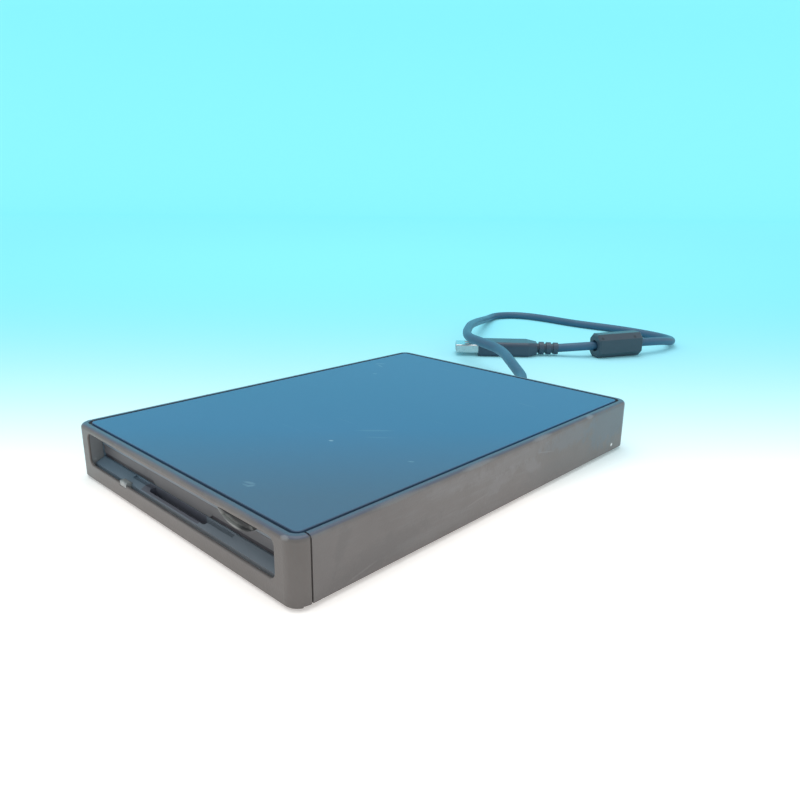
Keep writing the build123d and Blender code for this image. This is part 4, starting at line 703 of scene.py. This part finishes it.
def metal(name, dark, light, rough_low, rough_high, grain_stretch=(20.0, 900.0, 900.0)):
    """Bare or plated metal: drawn grain along one direction, uneven in tone and polish."""
    material, tree, shader, coordinates = blank_material(name)
    shader.inputs["Metallic"].default_value = 1.0
    space = tree.nodes.new("ShaderNodeMapping")
    space.inputs["Scale"].default_value = grain_stretch
    join(tree, coordinates, "Object", space, "Vector")
    grain = noise(tree, 1.0, 3)
    join(tree, space, "Vector", grain, "Vector")
    patches = noise(tree, 90, 3)
    join(tree, coordinates, "Object", patches, "Vector")
    both = figure(tree, "ADD")
    join(tree, grain, "Fac", both, 0)
    join(tree, patches, "Fac", both, 1)
    tone = spread(tree, 0.7, 1.3)
    join(tree, both, "Value", tone, "Value")
    shade = blend_colours(tree, dark, light, tone, "Result")
    tree.links.new(shade.outputs[2], shader.inputs["Base Color"])
    polish = spread(tree, 0.7, 1.3, rough_low, rough_high)
    join(tree, both, "Value", polish, "Value")
    join(tree, polish, "Result", shader, "Roughness")
    bump = tree.nodes.new("ShaderNodeBump")
    bump.inputs["Distance"].default_value = 0.000005
    join(tree, grain, "Fac", bump, "Height")
    join(tree, bump, "Normal", shader, "Normal")
    return material


zinc_steel = metal("zinc_steel", (0.44, 0.45, 0.46), (0.58, 0.59, 0.61), 0.28, 0.42)
wear(zinc_steel, parts["case_screws"], parts["drive_screws"], parts["cover_screws"])

# ------------------------------------------------------------------ drive's face
# The drive's own dark blue-gray face fills the case's mouth: a shelf slopes up to the
# slot, a thin sprung flap closes it, and the button stands above its right end.

face_plastic = moulded(
    "face_plastic", (0.160, 0.188, 0.222), (0.180, 0.210, 0.246), gloss=0.30,
    pebble_size=0.0005, relief=0.000008, dust=0.4,
)
# painted light: the foot of the shelf is painted paler, as if it caught light from the lip
zoned(face_plastic, (-0.047, -0.0712, 0.0040), (0.047, -0.0697, 0.00555), (0.300, 0.310, 0.335))
# painted light: the left part of the drive's face is painted paler and bluer
marked(
    face_plastic,
    [((-0.0420, -0.0690, 0.0065), (0, 0, 0), (0.0360, 0.0100, 0.0060), (0.120, 0.210, 0.290), 0.6)],
)
# painted shade: the deep notch for the finger is painted dark
zoned(
    face_plastic, (-0.0176, -0.0697, 0.0040), (0.0118, -0.0668, 0.0069), (0.095, 0.090, 0.116), 0.8
)
wear(face_plastic, parts["drive_bezel"])
flap_plastic = moulded(
    "flap_plastic", (0.106, 0.103, 0.112), (0.122, 0.118, 0.126), gloss=0.42,
    pebble_size=0.0004, relief=0.00001, dust=0.4,
)
# painted shade: the flap's lower edge is painted almost black, for the dark slot behind it
zoned(
    flap_plastic, (-0.05, -0.067, 0.0070), (0.05, -0.0660, 0.0084), (0.024, 0.020, 0.028), 0.95
)
wear(flap_plastic, parts["slot_flap"])
button_plastic = moulded(
    "button_plastic", (0.400, 0.400, 0.385), (0.440, 0.440, 0.420), gloss=0.45,
    pebble_size=0.0005, relief=0.000006, dust=0.3,
)
# painted shade: the dish and the button's right part are painted dark, for the shade under the lip,
# and a painted highlight sits at its right end
marked(
    button_plastic,
    [
        ((0.0352, -0.0704, 0.0124), (0, 0, 0), (0.0048, 0.02, 0.0018), (0.060, 0.060, 0.062), 0.9),
        ((0.0309, -0.0704, 0.0150), (0, 0, 0), (0.0093, 0.02, 0.0032), (0.008, 0.010, 0.012), 1.0),
        ((0.0336, -0.0704, 0.01375), (0, 0, 0), (0.0006, 0.02, 0.0003), (0.5, 0.5, 0.5), 0.85),
    ],
    ragged=0.12,
)
button_shader = button_plastic.node_tree.nodes["Principled BSDF"]
button_shader.inputs["Specular IOR Level"].default_value = 0.22
wear(button_plastic, parts["eject_button"])

# ------------------------------------------------------------------ lamp window
# A clear moulded light pipe in the lip, over a small light-emitting diode. It looks white
# because its ends are frosted.

lens, lens_tree, lens_shader, lens_coordinates = blank_material("frosted_lens")
lens_cloud = noise(lens_tree, 500, 3)
join(lens_tree, lens_coordinates, "Object", lens_cloud, "Vector")
lens_tone = spread(lens_tree, 0.3, 0.7)
join(lens_tree, lens_cloud, "Fac", lens_tone, "Value")
lens_colour = blend_colours(lens_tree, (0.34, 0.37, 0.38), (0.54, 0.57, 0.57), lens_tone, "Result")
lens_tree.links.new(lens_colour.outputs[2], lens_shader.inputs["Base Color"])
lens_rough = spread(lens_tree, 0, 1, 0.12, 0.24)
join(lens_tree, lens_cloud, "Fac", lens_rough, "Value")
join(lens_tree, lens_rough, "Result", lens_shader, "Roughness")
lens_shader.inputs["Transmission Weight"].default_value = 0.35
lens_shader.inputs["IOR"].default_value = 1.49
wear(lens, parts["light_pipe"], parts["status_led"])

# ------------------------------------------------------------------ plug and ferrite
# The moulded plug grip and its ribbed relief, the boot at the case and the clam-shell of
# the ferrite are slate-blue plastic. The plug's shell is pressed steel, nickel plated.

grip_plastic = moulded(
    "grip_plastic", (0.033, 0.061, 0.096), (0.042, 0.072, 0.112), gloss=0.36,
    pebble_size=0.0005, relief=0.000012, dust=0.4,
)
wear(grip_plastic, parts["plug_body"], parts["cord_boot"])
# painted shade: the clam-shell's two latch holes, in the slope that faces the case, are painted as
# dark spots
latched_plastic = moulded(
    "latched_plastic", (0.034, 0.056, 0.080), (0.044, 0.068, 0.094), gloss=0.36,
    pebble_size=0.0005, relief=0.000012, dust=0.4,
)
marked(
    latched_plastic,
    [
        (place, (0, 0, 0), (0.001, 0.001, 0.001), (0.010, 0.022, 0.034), 0.9)
        for place in ((-0.01974, 0.19012, 0.01103), (-0.01024, 0.20761, 0.01131))
    ],
    ragged=0.1,
)
wear(latched_plastic, parts["ferrite_case_upper"], parts["ferrite_case_lower"])
nickel = metal("nickel", (0.56, 0.57, 0.58), (0.70, 0.71, 0.72), 0.22, 0.34)
wear(nickel, parts["plug_shell"])
tongue_plastic = moulded("tongue_plastic", (0.70, 0.70, 0.68), (0.80, 0.80, 0.78), gloss=0.4)
wear(tongue_plastic, parts["plug_tongue"])
gold = metal("gold", (0.80, 0.56, 0.20), (0.92, 0.68, 0.28), 0.2, 0.3)
wear(gold, parts["plug_contacts"])
sintered = moulded(
    "sintered_ferrite", (0.020, 0.020, 0.022), (0.034, 0.034, 0.036), gloss=0.6,
    pebble_size=0.0002, relief=0.00004,
)
wear(sintered, parts["ferrite_core"], parts["rotor_magnet"])

# ------------------------------------------------------------------ drive's frame
# Folded zinc-plated sheet: the chassis tray, its cover, the disk holder, the slide plate
# and the shutter lever, riveted and screwed together.

wear(
    zinc_steel,
    parts["chassis"],
    parts["drive_cover"],
    parts["slide_rivets"],
    parts["disk_holder"],
    parts["slide_plate"],
    parts["shutter_lever"],
    parts["lever_pivot"],
    parts["rod_clamps"],
)

# ------------------------------------------------------------------ springs
# Springs of hard drawn round wire. The coils are wound by turning the wire's section about
# their axis, and each end is drawn out into a hook or a leg. The leaf spring is flat strip.

spring_steel = metal("spring_steel", (0.36, 0.36, 0.38), (0.48, 0.48, 0.50), 0.25, 0.35)
wear(spring_steel, parts["arm_spring"])


def end_faces(piece, axis):
    """The two faces that close a coil's wire, by their place along its axis."""
    closing = [face for face in piece.data.polygons if len(face.vertices) > 4]
    return sorted(closing, key=lambda face: face.center["XYZ".index(axis)])


def coil(start, axis, radius, wire, turns, pitch, first_leg, last_leg):
    """A closed coil of wire from a start along an axis, with its legs' points."""
    bpy.ops.object.select_all(action="DESELECT")
    bpy.ops.mesh.primitive_circle_add(vertices=10, radius=wire / 2)
    made = bpy.context.object
    centre = (0, 0, 0)
    moved(
        made, bpy.ops.transform.rotate, value=math.pi / 2, orient_axis="X", center_override=centre
    )
    moved(made, bpy.ops.transform.translate, value=(radius, 0, 0))
    winding = made.modifiers.new("winding", "SCREW")
    winding.axis = "Z"
    winding.angle = 2 * math.pi
    winding.iterations = turns
    winding.steps = 20
    winding.render_steps = 20
    winding.screw_offset = pitch
    bpy.ops.object.modifier_apply(modifier=winding.name)
    moved(made, bpy.ops.mesh.fill_holes, sides=0)
    moved(made, bpy.ops.mesh.normals_make_consistent, inside=False)
    across = "Y" if axis == "X" else "X"
    moved(
        made,
        bpy.ops.transform.rotate,
        value=math.pi / 2,
        orient_axis=across,
        center_override=centre,
    )
    shift = Vector(start)
    along = "XYZ".index(axis)
    shift[along] -= end_faces(made, axis)[0].center[along]
    moved(made, bpy.ops.transform.translate, value=shift)
    for which, leg in ((0, first_leg), (-1, last_leg)):
        closing = end_faces(made, axis)[which]
        here = closing.center.copy()
        points = [here + closing.normal * wire * 0.6] + [Vector(point) for point in leg]
        for point in points:
            nearest = min(end_faces(made, axis), key=lambda face: (face.center - here).length)
            chosen = nearest.index
            for element in (*made.data.vertices, *made.data.edges):
                element.select = False
            for face in made.data.polygons:
                face.select = face.index == chosen
            bpy.ops.object.mode_set(mode="EDIT")
            bpy.ops.mesh.select_mode(type="FACE")
            bpy.ops.mesh.extrude_region_move(TRANSFORM_OT_translate={"value": point - here})
            bpy.ops.object.mode_set(mode="OBJECT")
            here = point
    return made


def spring(name, body, node, *coils):
    """One spring piece of one or more coils, in place of a node."""
    bpy.ops.object.select_all(action="DESELECT")
    for part_coil in coils:
        part_coil.select_set(True)
    bpy.context.view_layer.objects.active = coils[0]
    if len(coils) > 1:
        bpy.ops.object.join()
    whole = bpy.context.object
    whole.name = name
    moved(whole, bpy.ops.mesh.normals_make_consistent, inside=False)
    bpy.ops.object.transform_apply(location=True, rotation=True, scale=True)
    bpy.ops.object.shade_smooth_by_angle(angle=math.radians(40))
    wear(spring_steel, whole)
    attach(whole, body)
    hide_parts(node)


spring(
    "flap_spring_wire",
    "case",
    "flap_spring",
    coil(
        (-0.03785, -0.0648, 0.0123), "X", 0.00065, 0.00028, 5, 0.00033,
        [(-0.03785, -0.06550, 0.0128), (-0.03785, -0.06550, 0.01402)],
        [(-0.0361, -0.06540, 0.0121), (-0.0361, -0.06540, 0.01132)],
    ),
)
spring(
    "eject_spring_wires",
    "eject",
    "eject_springs",
    *(
        coil(
            (x, -0.0276, 0.0135), "Y", 0.00073, 0.00032, 9, 0.00037,
            [(x, -0.0279, 0.0136), (x, -0.0280, 0.0130), (x, -0.0280, 0.01272)],
            [(x, -0.0239, 0.0135), (x, -0.0232, 0.0135), (x, -0.0218, 0.0135)],
        )
        for x in (-0.030, 0.038)
    ),
)
spring(
    "lever_spring_wire",
    "holder",
    "lever_spring",
    coil(
        (0.037, 0.01895, 0.0120), "Y", 0.00060, 0.00028, 8, 0.00032,
        [(0.037, 0.01878, 0.0120), (0.037, 0.01878, 0.01140)],
        [(0.037, 0.02192, 0.0120), (0.037, 0.02192, 0.01140)],
    ),
)

# ------------------------------------------------------------------ spindle motor
# A flat motor on its own lacquered board. Copper is wound on a laminated stator round a
# sintered bearing, and a pressed, zinc-plated cup carries the ring magnet, the ground hub
# and its drive pin.

board_lacquer = moulded(
    "board_lacquer", (0.010, 0.070, 0.030), (0.018, 0.100, 0.046), gloss=0.25,
    pebble_size=0.0012, relief=0.00001,
)
wear(board_lacquer, parts["motor_board"], parts["control_board"], parts["usb_board"])
sintered_bronze = metal("sintered_bronze", (0.48, 0.32, 0.14), (0.62, 0.44, 0.22), 0.35, 0.5)
wear(sintered_bronze, parts["spindle_bearing"])
copper_wire = metal("copper_wire", (0.52, 0.18, 0.07), (0.72, 0.30, 0.13), 0.25, 0.4)
# the windings are copper, the tooth tips and the ring inside them are bare laminations
spindle_y = -0.0185
windings_outside = 0.0159
windings_inside = 0.0093
winding_tree, winding_shader, winding_place, winding_under = opened(copper_wire)
from_spindle = winding_tree.nodes.new("ShaderNodeVectorMath")
from_spindle.operation = "MULTIPLY_ADD"
from_spindle.inputs[1].default_value = (1.0, 1.0, 0.0)
from_spindle.inputs[2].default_value = (0.0, -spindle_y, 0.0)
join(winding_tree, winding_place, "Object", from_spindle, 0)
spindle_reach = winding_tree.nodes.new("ShaderNodeVectorMath")
spindle_reach.operation = "LENGTH"
join(winding_tree, from_spindle, "Vector", spindle_reach, 0)
outer_tips = figure(winding_tree, "GREATER_THAN", windings_outside)
join(winding_tree, spindle_reach, "Value", outer_tips, 0)
inner_ring = figure(winding_tree, "LESS_THAN", windings_inside)
join(winding_tree, spindle_reach, "Value", inner_ring, 0)
bare = figure(winding_tree, "MAXIMUM")
join(winding_tree, outer_tips, "Value", bare, 0)
join(winding_tree, inner_ring, "Value", bare, 1)
laminated = blend_colours(winding_tree, winding_under, (0.34, 0.35, 0.37), bare, "Value")
winding_tree.links.new(laminated.outputs[2], winding_shader.inputs["Base Color"])
wear(copper_wire, parts["stator"])
wear(zinc_steel, parts["rotor_cup"], parts["stepper_motor"])
ground_steel = metal("ground_steel", (0.62, 0.63, 0.65), (0.76, 0.77, 0.79), 0.12, 0.2)
wear(
    ground_steel,
    parts["spindle_hub"],
    parts["drive_pin"],
    parts["guide_rod"],
    parts["arm_pins"],
)

# ------------------------------------------------------------------ heads
# A die-cast carriage on a ground rod, with a plastic arm above the disk. Each carries a
# ceramic head, and a rolled lead screw moves them in and out.

cast_alloy = metal(
    "cast_alloy", (0.42, 0.43, 0.44), (0.54, 0.55, 0.56), 0.42, 0.58, (500.0, 500.0, 500.0)
)
wear(cast_alloy, parts["head_carriage"])
arm_plastic = moulded("arm_plastic", (0.020, 0.020, 0.022), (0.034, 0.034, 0.036), gloss=0.45)
wear(arm_plastic, parts["head_arm"])

# the lead screw has a flat-topped thread of 3 mm pitch and is cut square at both ends
screw_x = -0.019
screw_z = 0.0082
screw_front = 0.0284
screw_end = 0.0505
screw_pitch = 0.003
thread_section = [
    (0.0014, 0.0),
    (0.0014, 0.0012),
    (0.00105, 0.0016),
    (0.00105, 0.0022),
    (0.0014, 0.0026),
    (0.0014, 0.0030),
]
bpy.ops.object.select_all(action="DESELECT")
bpy.ops.mesh.primitive_plane_add(size=0.001)
thread = bpy.context.object
bpy.ops.object.mode_set(mode="EDIT")
bpy.ops.mesh.select_mode(type="VERT")
bpy.ops.mesh.merge(type="CENTER")
bpy.ops.transform.translate(value=(thread_section[0][0], 0, thread_section[0][1]))
for (reach, height), (next_reach, next_height) in zip(thread_section, thread_section[1:]):
    bpy.ops.mesh.extrude_vertices_move(
        TRANSFORM_OT_translate={"value": (next_reach - reach, 0, next_height - height)}
    )
bpy.ops.object.mode_set(mode="OBJECT")
rolling = thread.modifiers.new("rolling", "SCREW")
rolling.axis = "Z"
rolling.angle = 2 * math.pi
rolling.iterations = 9
rolling.steps = 24
rolling.render_steps = 24
rolling.screw_offset = screw_pitch
bpy.ops.object.modifier_apply(modifier=rolling.name)
moved(thread, bpy.ops.mesh.remove_doubles, threshold=0.000002)
low_cut = screw_pitch * 1.2
for height, keep_low in ((low_cut, False), (low_cut + screw_end - screw_front, True)):
    moved(
        thread,
        bpy.ops.mesh.bisect,
        plane_co=(0, 0, height),
        plane_no=(0, 0, 1),
        use_fill=True,
        threshold=0.0000001,
        clear_inner=not keep_low,
        clear_outer=keep_low,
    )
moved(thread, bpy.ops.mesh.normals_make_consistent, inside=False)
moved(
    thread,
    bpy.ops.transform.rotate,
    value=math.pi / 2,
    orient_axis="X",
    center_override=(0, 0, 0),
)
low_end = min(vertex.co.y for vertex in thread.data.vertices)
moved(thread, bpy.ops.transform.translate, value=(screw_x, screw_front - low_end, screw_z))
bpy.ops.object.transform_apply(location=True, rotation=True, scale=True)
bpy.ops.object.shade_smooth_by_angle(angle=math.radians(30))
thread.name = "lead_screw_thread"
wear(ground_steel, thread)
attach(thread, "screw")
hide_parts("lead_screw")
ceramic = moulded("ceramic", (0.034, 0.026, 0.022), (0.050, 0.040, 0.034), gloss=0.15)
wear(ceramic, parts["lower_head"], parts["upper_head"])

# ------------------------------------------------------------------ electronics
# Chips, the track sensor and switch blocks in black moulding compound, soldered to the
# boards, with sprung acetal plungers above the switches and a flat ribbon in pale film.

chip_compound = moulded("chip_compound", (0.012, 0.012, 0.013), (0.020, 0.020, 0.021), gloss=0.55)
wear(
    chip_compound,
    parts["control_chips"],
    parts["usb_chips"],
    parts["track_sensor"],
    parts["switch_blocks"],
)
acetal = moulded("acetal", (0.66, 0.66, 0.63), (0.76, 0.76, 0.73), gloss=0.4)
wear(acetal, parts["media_plunger"], parts["density_plunger"], parts["protect_plunger"])
ribbon_film = moulded("ribbon_film", (0.60, 0.62, 0.64), (0.72, 0.74, 0.76), gloss=0.35)
wear(ribbon_film, parts["drive_ribbon"])
